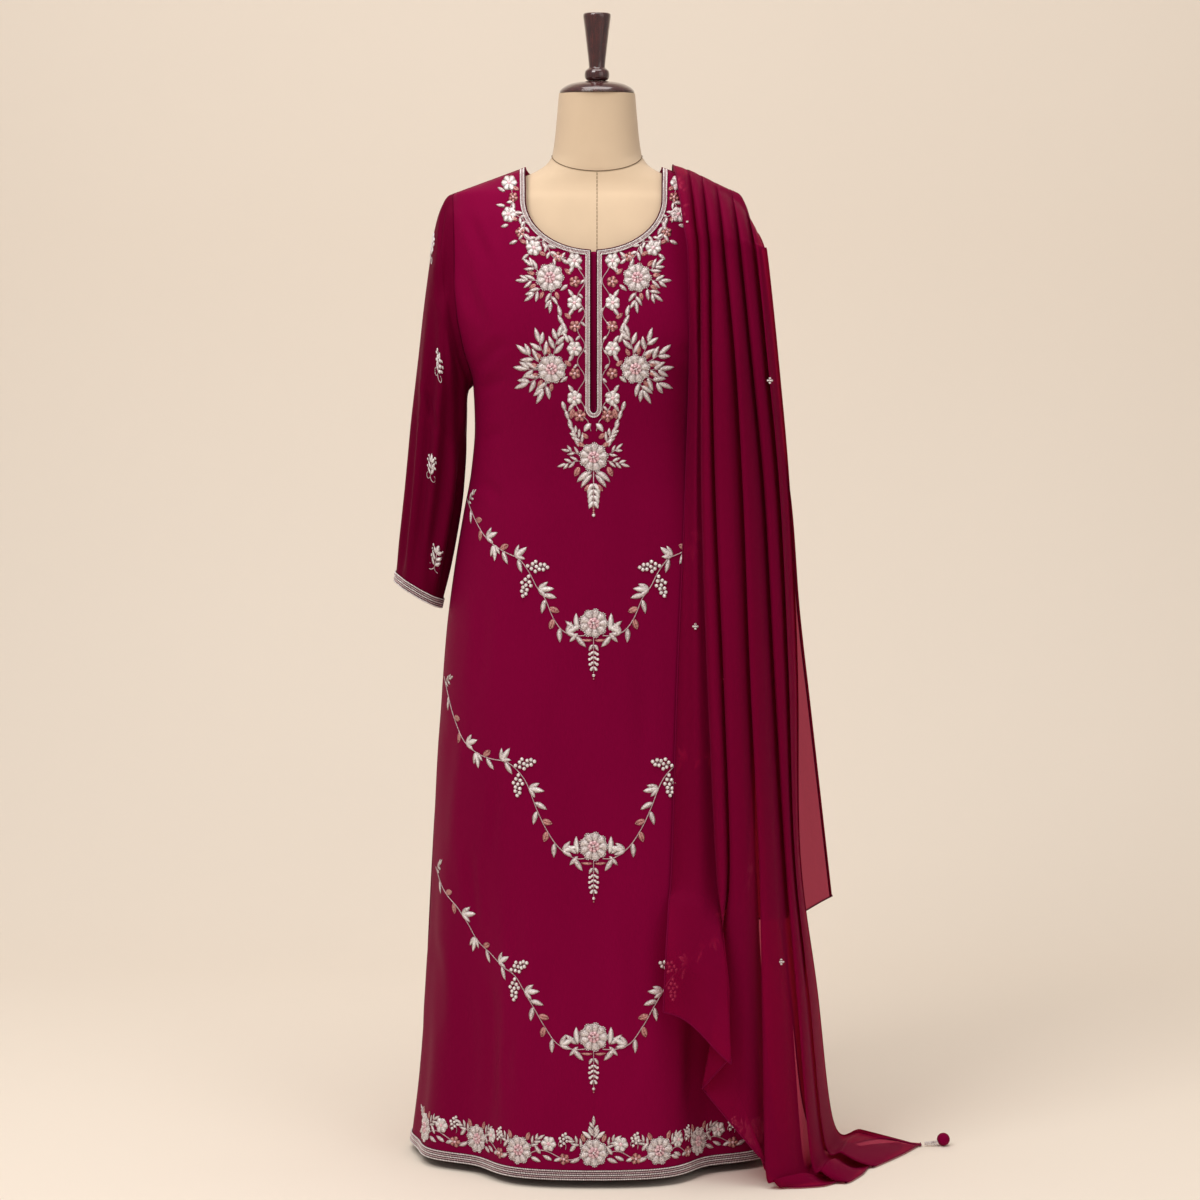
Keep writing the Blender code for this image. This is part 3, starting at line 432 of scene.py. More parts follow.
def beaded_material(name, color, other, roughness, metallic, cell=0.0013):
    """Closely sewn beads and sequins: round cells, each with its own tone and a raised middle."""
    mat, tree, shader = new_material(name, color, roughness, metallic, Specular_IOR_Level=0.7)
    space = texture_space(tree, (1 / cell, 1 / cell, 1 / cell))
    cells = tree.nodes.new("ShaderNodeTexVoronoi")
    cells.inputs["Scale"].default_value = 1.0
    tree.links.new(space, cells.inputs["Vector"])
    tone = tree.nodes.new("ShaderNodeSeparateColor")
    tree.links.new(cells.outputs["Color"], tone.inputs["Color"])
    tree.links.new(ramp(tree, tone.outputs["Red"], ((0.0, other), (0.35, color), (0.85, color),
                                                    (1.0, scaled_color(color, 1.25)))),
                   shader.inputs["Base Color"])
    node = bump(tree, shader, cells.outputs["Distance"], 0.8, cell * 0.5)
    node.invert = True
    return mat


def form_material():
    """Beige cotton over the form: a fine plain weave and faint wear."""
    color = (0.660, 0.500, 0.345)
    mat, tree, shader = new_material("form_cotton", color, 0.88, Sheen_Weight=0.15,
                                     Specular_IOR_Level=0.25)
    slow = noise(tree, texture_space(tree, (14, 14, 9)), 1.0, 4.0)
    warp = noise(tree, texture_space(tree, (2400, 2400, 500)), 1.0, 1.0)
    weft = noise(tree, texture_space(tree, (500, 500, 2400)), 1.0, 1.0)
    tree.links.new(ramp(tree, slow, ((0.2, scaled_color(color, 0.93)), (0.55, color),
                                     (0.85, scaled_color(color, 1.05)))), shader.inputs["Base Color"])
    bump(tree, shader, add_heights(tree, warp, weft, 1.0), 0.22, 0.0003)
    return mat


def thread_material():
    """Brown sewing thread, twisted."""
    mat, tree, shader = new_material("seam_thread", (0.20, 0.135, 0.080), 0.8)
    twist = noise(tree, texture_space(tree, (1800, 1800, 1800)), 1.0, 1.0)
    bump(tree, shader, twist, 0.3, 0.0002)
    return mat


def wood_material():
    """Dark mahogany under gloss lacquer, its grain along the turned axis."""
    mat, tree, shader = new_material("mahogany", (0.05, 0.010, 0.010), 0.22, Coat_Weight=1.0,
                                     Coat_Roughness=0.06)
    grain = noise(tree, texture_space(tree, (420, 420, 22)), 1.0, 4.0, 0.65)
    tree.links.new(ramp(tree, grain, ((0.30, (0.022, 0.005, 0.006)), (0.55, (0.060, 0.011, 0.011)),
                                      (0.80, (0.115, 0.022, 0.018)))), shader.inputs["Base Color"])
    bump(tree, shader, grain, 0.06, 0.0002)
    return mat


def metal_material():
    """Dark satin paint on the stand, with faint orange peel."""
    mat, tree, shader = new_material("satin_metal", (0.07, 0.06, 0.06), 0.38, 0.7)
    peel = noise(tree, texture_space(tree, (260, 260, 260)), 1.0, 2.0)
    tree.links.new(ramp(tree, peel, ((0.3, (0.055, 0.048, 0.048)), (0.7, (0.085, 0.075, 0.074)))),
                   shader.inputs["Base Color"])
    bump(tree, shader, peel, 0.12, 0.0003)
    return mat


WINE = (0.188, 0.0012, 0.0345)
GEORGETTE = cloth_material("georgette", WINE, streak=0.0075, grain=0.0011, roughness=0.66, sheen=0.03)
CHIFFON = sheer_material("chiffon", (0.205, 0.0018, 0.0360), through=(0.95, 0.16, 0.27), cover=0.68,
                         streak=0.0100, grain=0.0014)
SLEEVE_CLOTH = sheer_material("sleeve_georgette", (0.118, 0.0006, 0.0190), through=(0.90, 0.10, 0.20),
                              cover=0.90, streak=0.0090, grain=0.0012)
ROLLED = cloth_material("rolled_chiffon", (0.150, 0.0020, 0.0300), streak=0.006, grain=0.0012, roughness=0.6,
                        sheen=0.05)
PIPING = cloth_material("dark_piping", (0.060, 0.0015, 0.0130), streak=0.004, grain=0.001, roughness=0.6,
                        sheen=0.05)
SILVER = beaded_material("silver_beads", (0.74, 0.665, 0.655), (0.36, 0.25, 0.25), 0.36, 0.20)
PEARL = beaded_material("pearl_beads", (0.84, 0.785, 0.775), (0.58, 0.48, 0.47), 0.28, 0.10)
BLUSH = beaded_material("blush_sequins", (0.86, 0.58, 0.62), (0.76, 0.38, 0.45), 0.32, 0.10)
COPPER = beaded_material("copper_sequins", (0.56, 0.26, 0.235), (0.30, 0.06, 0.07), 0.34, 0.30)
THREAD = beaded_material("zari_thread", (0.64, 0.49, 0.50), (0.34, 0.16, 0.19), 0.40, 0.30, cell=0.0008)
COTTON = form_material()
SEAM_THREAD = thread_material()
MAHOGANY = wood_material()
SATIN = metal_material()
BEADWORK_MATERIALS = [SILVER, PEARL, BLUSH, COPPER, THREAD]
SILVER_I, PEARL_I, BLUSH_I, COPPER_I, THREAD_I = range(5)


# ---------------------------------------------------------------- the kameez's surface
def kameez_surface(x, z, side):
    """Points of the kameez for arrays of x (from its own middle) and z, on its front (-1) or back (1)."""
    x, z = np.broadcast_arrays(np.asarray(x, float), np.asarray(z, float))
    half, depth = HALF(z), DEPTH[side](z)
    share = np.clip(np.abs(x) / half, 0.0, 1.0)
    y = side * depth * (1 - share**SECTION_POWER)**(1 / SECTION_POWER)
    bearing = np.degrees(np.arctan2(x, -y))
    reach = np.maximum(np.hypot(x, y), 1e-6)
    pull = np.zeros_like(x)
    for fold in SKIRT_FOLDS:
        away = (bearing - fold["bearing"] + 180.0) % 360.0 - 180.0
        fade = ease((fold["top"] - z) / fold["top"])
        pull += fold["depth"] * fade * np.exp(-(away / fold["spread"])**2)
    pull += crease_depth(x, z, side)
    return np.stack([x * (1 - pull / reach) + KAMEEZ_X, y * (1 - pull / reach), z], axis=-1)


def section_arcs(z, side):
    """Lengths round the section at heights z, from its middle out to each of SECTION_SHARES."""
    z = np.asarray(z, float)
    x = HALF(z)[..., None] * SECTION_SHARES
    y = DEPTH[side](z)[..., None] * SECTION_Y
    steps = np.hypot(np.diff(x), np.diff(y))
    return np.concatenate([np.zeros(steps.shape[:-1] + (1,)), np.cumsum(steps, axis=-1)], axis=-1)


def round_length(x, z, side):
    """How far round the section a point at x lies from the middle."""
    length = np.interp(abs(x), float(HALF(z)) * SECTION_SHARES, section_arcs(np.array([z]), side)[0])
    return math.copysign(length, x)


def unrolled_surface(u, z, side):
    """Points that lie u round the section from its middle, so that a motif keeps its shape near the seams."""
    u, z = np.broadcast_arrays(np.asarray(u, float), np.asarray(z, float))
    arcs = section_arcs(z, side)
    last = len(SECTION_SHARES) - 2
    k = np.clip(np.sum(arcs < np.abs(u)[..., None], axis=-1) - 1, 0, last)[..., None]
    before, after = np.take_along_axis(arcs, k, -1)[..., 0], np.take_along_axis(arcs, k + 1, -1)[..., 0]
    t = np.clip((np.abs(u) - before) / (after - before), 0.0, 1.0)
    share = lerp(SECTION_SHARES[k[..., 0]], SECTION_SHARES[k[..., 0] + 1], t)
    return kameez_surface(np.sign(u) * HALF(z) * share, z, side)


def crease_depth(x, z, side):
    """How far the listed creases move a point towards the axis."""
    total = np.zeros_like(x)
    for crease in CREASES:
        if crease["side"] != side:
            continue
        start = np.array([crease["x1"], crease["z1"]])
        along = np.array([crease["x2"], crease["z2"]]) - start
        length = np.hypot(*along)
        unit = along / length
        u = ((x - start[0]) * unit[0] + (z - start[1]) * unit[1]) / length
        off = (x - start[0]) * unit[1] - (z - start[1]) * unit[0]
        wander = 0.35 * crease["width"] * np.sin(u * 5.0 + crease["x1"] * 90.0)
        across = (off + wander) / crease["width"]
        body = np.exp(-across**2) - 0.45 * np.exp(-((np.abs(across) - 1.9) / 0.8)**2)
        total += crease["depth"] * body * ease(u / 0.3) * ease((1 - u) / 0.3)
    return total


def outer_edge_x(z):
    return HALF(z) * np.where(z <= UNDERARM_Z, 1.0, ARM_SHARE(z))


def half_row(outer_z, inner_x, inner_z, side, hand):
    """One row on half a panel, from its outer seam to its inner edge."""
    half = HALF(outer_z)
    first = math.asin(min(outer_edge_x(outer_z) / half, 1.0))
    last = math.asin(min(inner_x / half, 1.0))
    angle = np.linspace(first, last, PANEL_COLUMNS + 1)
    x = half * np.sin(angle)
    edge = x[0]
    z = outer_z + (inner_z - outer_z) * (edge - x) / (edge - inner_x)
    points = kameez_surface(hand * x, z, side)
    if outer_z <= UNDERARM_Z:
        points[0, 1] = side * SEAM
    if outer_z >= SHOULDER_Z - 1e-9:
        points[:, 1] = side * SEAM
    return points


def whole_rows(side):
    """Outer and inner heights of the rows that run from seam to seam."""
    count = 150
    heights = [HEM_Z + (SLIT_TIP_Z - HEM_Z) * k / count for k in range(count + 1)]
    rows = [(z, z) for z in heights]
    if side > 0:
        steps = 36
        for k in range(1, steps + 1):
            t = k / steps
            rows.append((lerp(SLIT_TIP_Z, BACK_NECK_ROW_Z, t), lerp(SLIT_TIP_Z, BACK_NECK_Z, t)))
    return rows


def opening_rows(side):
    """Rows above: outer height, inner edge's x and its height."""
    rows = []
    if side > 0:
        steps = 24
        for k in range(1, steps + 1):
            angle = 0.5 * math.pi * k / steps
            z = NECK_POINT_Z - (NECK_POINT_Z - BACK_NECK_Z) * math.cos(angle)
            rows.append((lerp(BACK_NECK_ROW_Z, SHOULDER_Z, k / steps), NECK_POINT_X * math.sin(angle), z))
        return rows
    for k in range(1, 33):
        t = k / 32
        rows.append((lerp(SLIT_TIP_Z, SLIT_ROW_Z, t), SLIT_HALF_GAP * min(1.0, math.sqrt(t * 10)),
                     lerp(SLIT_TIP_Z, NECK_SIDE_Z - NECK_DROP, t)))
    for k in range(1, 25):
        angle = 0.5 * math.pi * k / 24
        x = max(NECK_WIDTH * math.sin(angle), SLIT_HALF_GAP + 0.0004 * k)
        rows.append((lerp(SLIT_ROW_Z, NECK_ROW_Z, k / 24), x, NECK_SIDE_Z - NECK_DROP * math.cos(angle)))
    for k in range(1, 11):
        t = k / 10
        rows.append((lerp(NECK_ROW_Z, SHOULDER_Z, t), lerp(NECK_WIDTH, NECK_POINT_X, t),
                     lerp(NECK_SIDE_Z, NECK_POINT_Z, t)))
    return rows


def kameez_panel(name, side, node):
    """One panel: whole rows, then a left and a right half with the opening between."""
    full = 2 * PANEL_COLUMNS + 1
    rows = []
    for outer_z, inner_z in whole_rows(side):
        left = half_row(outer_z, 0.0, inner_z, side, -1)
        right = half_row(outer_z, 0.0, inner_z, side, 1)
        rows.append(np.vstack([left, right[-2::-1]]))
    verts = np.vstack(rows)
    faces = grid_quads(len(rows), full)
    for hand in (-1, 1):
        first = len(verts)
        last_whole = (len(rows) - 1) * full
        upper = [half_row(*row, side, hand) for row in opening_rows(side)]
        if hand > 0:
            upper = [row[::-1] for row in upper]
        below = last_whole + (0 if hand < 0 else PANEL_COLUMNS)
        for c in range(PANEL_COLUMNS):
            faces.append((below + c, below + c + 1, first + c + 1, first + c))
        faces += grid_quads(len(upper), PANEL_COLUMNS + 1, first=first)
        verts = np.vstack([verts] + upper)
    if side > 0:
        faces = [f[::-1] for f in faces]
    panel = add_piece(name, verts, faces, GEORGETTE, [node])
    thicken(panel, CLOTH, side)
    return panel


def slit_placket():
    """The strip of the same cloth behind the neck slit."""
    rows = []
    for z in np.linspace(SLIT_TIP_Z - 0.014, NECK_SIDE_Z - NECK_DROP - 0.002, 60):
        points = kameez_surface(np.linspace(-0.016, 0.016, 17), z, -1)
        points[:, 1] += 0.0034
        rows.append(points)
    obj = add_piece("placket_cloth", np.vstack(rows), grid_quads(60, 17), GEORGETTE,
                    ["slit_placket"])
    thicken(obj, 0.0008)
    return obj


# ---------------------------------------------------------------- sleeves
class SleeveSurface:
    """A sleeve as a function of bearing (radians, 0 outer edge, then front) and share of length."""

    def __init__(self, hand, width):
        self.hand = hand
        rows = []
        edge = float(outer_edge_x(SHOULDER_Z)) + SEAM
        armhole_row = [edge, SHOULDER_Z, float(outer_edge_x(UNDERARM_Z)) + SEAM, UNDERARM_Z, 0.056]
        rows.append(armhole_row)
        for number, row in enumerate(SLEEVE):
            share = lerp(1.0, width, float(ease(number / 5)))
            rows.append([lerp(row["in_x"], row["out_x"], share), row["out_z"], row["in_x"], row["in_z"],
                         row["depth"]])
        self.rows = np.array(rows)
        self.dense = spline(self.rows, 400)

    def section(self, t):
        """Ring values at share t of the length: 0 at the armhole, 1 at the cuff."""
        position = np.clip(t, 0.0, 1.0) * (len(self.dense) - 1)
        low = np.minimum(position.astype(int), len(self.dense) - 2)
        f = (position - low)[..., None]
        return self.dense[low] * (1 - f) + self.dense[low + 1] * f

    def armhole_shift(self, bearing):
        """From a plain ring to the armhole's true seam."""
        middle = 0.5 * (SHOULDER_Z + UNDERARM_Z)
        z = middle + (SHOULDER_Z - middle) * np.cos(bearing)
        side = np.where(np.sin(bearing) >= 0, -1, 1)
        front = kameez_surface(outer_edge_x(z), z, -1)
        back = kameez_surface(outer_edge_x(z), z, 1)
        seam = np.where((side < 0)[..., None], front, back)
        seam[..., 0] += 0.0003 - KAMEEZ_X
        plain = self.ring(bearing, self.rows[0] * np.ones(bearing.shape + (1,)))
        return seam - plain

    @staticmethod
    def ring(bearing, row):
        out_x, out_z, in_x, in_z, depth = (row[..., k] for k in range(5))
        c, s = np.cos(bearing), np.sin(bearing)
        x = (out_x + in_x) / 2 + (out_x - in_x) / 2 * c
        z = (out_z + in_z) / 2 + (out_z - in_z) / 2 * c
        return np.stack([x, -depth * s, z], axis=-1)

    def point(self, bearing, t):
        bearing, t = np.broadcast_arrays(np.asarray(bearing, float), np.asarray(t, float))
        row = self.section(t)
        fade = 1 - ease((t * len(SLEEVE) - 0.4) / 6)
        points = self.ring(bearing, row) + self.armhole_shift(bearing) * fade[..., None]
        centre = np.stack([(row[..., 0] + row[..., 2]) / 2, np.zeros_like(t),
                           (row[..., 1] + row[..., 3]) / 2], axis=-1)
        inward = centre - points
        inward /= np.maximum(np.linalg.norm(inward, axis=-1, keepdims=True), 1e-6)
        pull = np.zeros_like(t)
        degrees = np.degrees(bearing) % 360.0
        for fold in SLEEVE_FOLDS:
            u = (t - fold["low"]) / (fold["high"] - fold["low"])
            away = (degrees - lerp(fold["start"], fold["end"], u) + 180.0) % 360.0 - 180.0
            away = away / fold["spread"]
            body = np.exp(-away**2) - 0.5 * np.exp(-((np.abs(away) - 1.9) / 0.8)**2)
            pull += fold["depth"] * body * ease(u / 0.35) * ease((1 - u) / 0.25)
        gather = np.sin(bearing * GATHERS + 2.0 * np.sin(bearing * 5))
        gather = gather * ease((0.12 - t) / 0.10) * ease(t / 0.012)
        head = ease((np.cos(bearing) + 0.25) / 0.8)
        pull += GATHER_DEPTH * gather * head
        points = points + inward * pull[..., None]
        points[..., 0] = self.hand * points[..., 0] + KAMEEZ_X
        return points

    def mesh(self, name, node):
        bearings = np.linspace(0, 2 * math.pi, SLEEVE_COLUMNS, endpoint=False)
        if self.hand > 0:
            bearings = bearings[::-1]
        shares = np.linspace(1.0, 0.0, SLEEVE_ROWS)
        points = self.point(bearings[None, :], shares[:, None])
        obj = add_piece(name, points.reshape(-1, 3), grid_quads(SLEEVE_ROWS, SLEEVE_COLUMNS, ring=True),
                        SLEEVE_CLOTH, [node])
        thicken(obj, CLOTH)
        return obj


# ---------------------------------------------------------------- beadwork
UP, DOWN = math.pi / 2, -math.pi / 2      # directions in the flat plane
LEAF_STEPS = 6
SPRIG_STEPS = 8


def polar(u, v, reach, angle):
    return u + reach * math.cos(angle), v + reach * math.sin(angle)


def walk(u, v, step, turns):
    """Points of a path from (u, v) with one step in each direction."""
    points = [(u, v)]
    for turn in turns:
        points.append(polar(*points[-1], step, turn))
    return points


class Beadwork:
    """Collects raised shapes drawn in a flat plane (u, v, height), then lays them on a surface."""

    def __init__(self, place, lift=0.0003):
        self.place = place
        self.lift = lift
        self.flat, self.faces, self.materials = [], [], []
        self.count = 0

    def add(self, points, faces, mat):
        self.flat.append(np.asarray(points, float))
        self.faces += [tuple(i + self.count for i in face) for face in faces]
        self.materials += [mat] * len(faces)
        self.count += len(points)

    def dome(self, u, v, radius, height=None, mat=PEARL_I, sides=8):
        """A round bead, flat underneath."""
        height = radius * 0.9 if height is None else height
        angles = np.arange(sides) * 2 * math.pi / sides
        rings = []
        for share, level in ((1.0, 0.0), (0.86, 0.55), (0.48, 0.90)):
            rings += [(*polar(u, v, radius * share, a), height * level) for a in angles]
        rings.append((u, v, height))
        faces = [tuple(range(sides))[::-1]]
        for r in (0, 1):
            for k in range(sides):
                j = (k + 1) % sides
                faces.append((r * sides + k, r * sides + j, (r + 1) * sides + j, (r + 1) * sides + k))
        faces += [(2 * sides + k, 2 * sides + (k + 1) % sides, 3 * sides) for k in range(sides)]
        self.add(rings, faces, mat)

    def leaf(self, u, v, angle, length, width, height=0.0012, mat=SILVER_I, bend=0.0, blunt=0.0):
        """A padded leaf or petal from its foot at (u, v), with a raised middle. bend turns its tip aside."""
        steps = LEAF_STEPS
        turns = [angle + bend * (k / steps) for k in range(steps + 1)]
        axis = walk(u, v, length / steps, [0.5 * (after + before) for before, after in zip(turns, turns[1:])])
        points = [(*axis[0], 0.0)]
        for k in range(1, steps):
            s = k / steps
            half = 0.5 * width * math.sin(math.pi * s**(0.85 + blunt))**(0.8 - 0.25 * blunt)
            nx, ny = -math.sin(turns[k]), math.cos(turns[k])
            level = height * math.sin(math.pi * s)**0.5
            cx, cy = axis[k]
            points += [(cx + nx * half, cy + ny * half, 0.0), (cx, cy, level),
                       (cx - nx * half, cy - ny * half, 0.0)]
        points.append((*axis[-1], 0.0))
        last = len(points) - 1
        faces = [(0, 2, 1), (0, 3, 2)]
        for k in range(steps - 2):
            a = 1 + 3 * k
            faces += [(a, a + 1, a + 4, a + 3), (a + 1, a + 2, a + 5, a + 4)]
        a = 1 + 3 * (steps - 2)
        faces += [(a, a + 1, last), (a + 1, a + 2, last)]
        faces.append((0, *range(1, last, 3), last, *range(last - 1, 2, -3)))
        self.add(points, faces, mat)

    def line(self, points, width, height=0.0007, mat=THREAD_I):
        """A couched thread along a polyline."""
        p = np.asarray(points, float)
        along = np.gradient(p, axis=0)
        along /= np.maximum(np.linalg.norm(along, axis=1, keepdims=True), 1e-9)
        across = np.stack([-along[:, 1], along[:, 0]], axis=1) * width / 2
        rows = []
        for k in range(len(p)):
            rows += [(*(p[k] + across[k]), 0.0), (*p[k], height), (*(p[k] - across[k]), 0.0)]
        faces = []
        for k in range(len(p) - 1):
            a = 3 * k
            faces += [(a, a + 1, a + 4, a + 3), (a + 1, a + 2, a + 5, a + 4), (a + 2, a, a + 3, a + 5)]
        faces += [(0, 2, 1), (3 * len(p) - 3, 3 * len(p) - 2, 3 * len(p) - 1)]
        self.add(rows, faces, mat)

    def build(self, name):
        flat = np.vstack(self.flat)
        base = self.place(flat[:, 0], flat[:, 1])
        normal = normals_of(self.place, flat[:, 0], flat[:, 1])
        centre = np.array([base[:, 0].mean() * 0.5, 0.02, 0.0])
        outward = np.sum(normal * (base - centre) * np.array([1, 1, 0]), axis=1)
        points = base + turned(normal, outward) * (flat[:, 2] + self.lift)[:, None]
        obj = add_piece(name, points, self.faces, BEADWORK_MATERIALS)
        obj.data.polygons.foreach_set("material_index", self.materials)
        face_outwards(obj)


def big_flower(work, u, v, radius, turn=0.0):
    """A layered flower: broad scalloped silver petals edged with beads, and a blush rosette in the middle."""
    petals = 9
    for k in range(petals):
        angle = turn + 2 * math.pi * k / petals
        work.leaf(*polar(u, v, 0.22 * radius, angle), angle, 0.76 * radius, 0.74 * radius, 0.0017, blunt=1.1)
        for step in (-2, -1, 0, 1, 2):
            tip = angle + step * 0.13
            reach = radius * (1.0 - 0.030 * step * step)
            work.dome(*polar(u, v, reach, tip), 0.00095, 0.0017, sides=6)
        for share in (0.55, 0.72, 0.88):
            work.dome(*polar(u, v, share * radius, angle), 0.0009, 0.0026, sides=6)
    for k in range(7):
        angle = turn + 0.3 + 2 * math.pi * k / 7
        work.leaf(*polar(u, v, 0.06 * radius, angle), angle, 0.38 * radius, 0.36 * radius, 0.0034, BLUSH_I,
                  bend=0.5, blunt=1.0)
    for k in range(4):
        angle = turn + 2 * math.pi * k / 4
        work.leaf(u, v, angle, 0.26 * radius, 0.26 * radius, 0.0042, BLUSH_I, bend=0.9, blunt=0.8)
    work.dome(u, v, 0.10 * radius, 0.0049, PEARL_I)


def small_flower(work, u, v, radius, petal, petals, turn):
    """A ring of plain petals round a blush bead."""
    for k in range(petals):
        angle = turn + 2 * math.pi * k / petals
        work.leaf(u, v, angle, radius, 0.82 * radius, 0.0016, petal, blunt=0.9)
    work.dome(u, v, 0.26 * radius, 0.0026, BLUSH_I)


def berries(work, u, v, angle, size=0.0019, rows=(2, 3, 2, 1)):
    """A bunch of round beads on short stalks, pointing along angle."""
    ax, ay = math.cos(angle), math.sin(angle)
    tip = (u + ax * size * 2.1 * len(rows), v + ay * size * 2.1 * len(rows))
    work.line([(u, v), ((u + tip[0]) / 2, (v + tip[1]) / 2), tip], 0.0008)
    for row, number in enumerate(rows):
        for k in range(number):
            side = (k - (number - 1) / 2) * size * 2.4
            forward = size * (1.6 + 2.05 * row + 0.5 * (k % 2))
            work.dome(u + ax * forward - ay * side, v + ay * forward + ax * side, size, size * 1.05, PEARL_I)


def sprig(work, u, v, angle, length, leaves=5, leaf=0.0125, curl=0.25):
    """A stalk with leaves on both sides and one at its tip."""
    steps = SPRIG_STEPS
    line = walk(u, v, length / steps, [angle + curl * k / steps for k in range(steps)])
    work.line(line, 0.0009)
    for k in range(leaves - 1):
        at = line[1 + k * (steps - 2) // max(leaves - 2, 1)]
        side = 1 if k % 2 else -1
        turn = angle + curl * k / leaves + side * 0.75
        work.leaf(*at, turn, leaf * (1 - 0.06 * k), leaf * 0.34, 0.0013, bend=-side * 0.3)
    work.leaf(*line[-1], angle + curl, leaf * 1.05, leaf * 0.34, 0.0013)


def copper_bud(work, u, v, angle, size=0.0105):
    """Two curled copper leaves with small sequins between."""
    for side in (1, -1):
        work.leaf(u, v, angle + side * 0.45, size, size * 0.34, 0.0011, COPPER_I, bend=-side * 0.8)
    for k in range(3):
        work.dome(*polar(u, v, size * (0.45 + 0.24 * k), angle), 0.0010, 0.0012, COPPER_I, 6)


def curl_line(work, u, v, angle, size, hand, mat=THREAD_I, width=0.0010):
    """A tendril that winds in on itself."""
    turns = [angle]
    for k in range(14):
        turns.append(turns[-1] + hand * (0.10 + 0.030 * k))
    work.line(walk(u, v, size / 13, turns[1:]), width, mat=mat)


def pendant(work, u, v):
    """Under a vine's middle flower: copper bar leaves, then pearls that taper to a point."""
    for side in (-1, 1):
        work.leaf(u + side * 0.001, v, UP + side * -1.75, 0.0165, 0.0042, 0.0012, COPPER_I,
                  bend=side * 0.45)
        work.leaf(u + side * 0.0008, v - 0.006, DOWN + side * 0.75, 0.0105, 0.0046,
                  0.0012, SILVER_I, bend=-side * 0.4)
    work.line([(u, v + 0.006), (u, v - 0.018), (u, v - 0.046)], 0.0010)
    for row in range(4):
        spread = (0.0052, 0.0056, 0.0048, 0.0032)[row]
        drop = v - (0.018 + 0.0068 * row)
        for side in (-1, 1):
            work.leaf(u, drop + 0.003, DOWN + side * 0.8, 0.0070, 0.0036, 0.0012, PEARL_I)
            work.dome(u + side * spread, drop - 0.0010, 0.0021, 0.0020, PEARL_I)
    work.dome(u, v - 0.0475, 0.0022, 0.0022, PEARL_I)
    work.dome(u, v - 0.0520, 0.0011, 0.0012, COPPER_I, 6)


# what grows along a vine, from its side end to its middle: kind, share of its length, and side of the stem
VINE_PARTS = table(
    "kind at side",
    ("sprig", 0.01, 1), ("leaf", 0.04, -1), ("bud", 0.09, 1), ("bud", 0.13, -1),
    ("leaves", 0.18, 1), ("leaves", 0.24, -1), ("bud", 0.29, 1), ("leaf", 0.31, -1),
    ("leaves", 0.39, 1), ("leaf", 0.42, -1), ("berries", 0.47, 1), ("berries", 0.52, -1),
    ("leaves", 0.60, 1), ("leaf", 0.65, 1), ("leaf", 0.67, -1), ("bud", 0.71, 1),
    ("bud", 0.76, -1), ("leaf", 0.81, -1), ("leaves", 0.86, 1), ("leaf", 0.93, -1))
# each vine: height at the side seam and of its middle flower, and how far it has dropped at each share across
VINE_SHARES = (0.0, 0.08, 0.16, 0.25, 0.35, 0.45, 0.53, 0.60, 0.67, 0.74, 0.82, 0.92, 1.0)
VINES = (
    dict(name="vine_upper", side_z=0.921, middle_z=0.763,
         drops=(0.0, 0.15, 0.26, 0.33, 0.38, 0.42, 0.51, 0.63, 0.72, 0.87, 0.965, 1.0, 1.0)),
    dict(name="vine_middle", side_z=0.676, middle_z=0.463,
         drops=(0.0, 0.22, 0.35, 0.41, 0.435, 0.445, 0.49, 0.57, 0.72, 0.84, 0.935, 0.995, 1.0)),
    dict(name="vine_lower", side_z=0.410, middle_z=0.206,
         drops=(0.0, 0.125, 0.22, 0.385, 0.455, 0.52, 0.56, 0.64, 0.745, 0.865, 0.965, 1.0, 1.0)),
)
VINE_END_X = 0.012       # where a stem meets its middle flower


def vine_stem(vine, hand):
    """The stem's line from the side seam to just under the middle flower."""
    side_x = float(HALF(vine["side_z"])) * 0.985
    low_z = vine["middle_z"] - 0.0165
    points = [(lerp(side_x, VINE_END_X, share), lerp(vine["side_z"], low_z, drop))
              for share, drop in zip(VINE_SHARES, vine["drops"])]
    return np.array([(hand * round_length(x, z, -1), z) for x, z in spline(points, 110)])


def add_vine_half(work, vine, hand):
    stem = vine_stem(vine, hand)
    work.line(stem, 0.0015, 0.0010)
    for part in VINE_PARTS:
        index = int(part["at"] * (len(stem) - 1))
        u, v = stem[index]
        ahead = stem[min(index + 2, len(stem) - 1)] - stem[max(index - 2, 0)]
        upward = -hand * part["side"]
        turn = math.atan2(ahead[1], ahead[0]) + upward * 0.85
        if part["kind"] == "leaf":
            work.leaf(u, v, turn, 0.0200, 0.0074, 0.0015, SILVER_I, bend=-0.25 * upward)
        elif part["kind"] == "leaves":
            work.leaf(u, v, turn, 0.0225, 0.0080, 0.0016, PEARL_I, bend=0.25 * upward)
            work.leaf(u, v, turn + 0.60 * upward, 0.0170, 0.0066, 0.0015, SILVER_I, bend=0.2)
            work.leaf(u, v, turn - 0.60 * upward, 0.0165, 0.0064, 0.0015, SILVER_I, bend=-0.2)
        elif part["kind"] == "berries":
            berries(work, u, v, turn, 0.0027, (1, 2, 3, 2, 2, 1))
        elif part["kind"] == "bud":
            copper_bud(work, u, v, turn, 0.0150)
        else:
            sprig(work, u, v, turn, 0.020, 5, 0.0130)


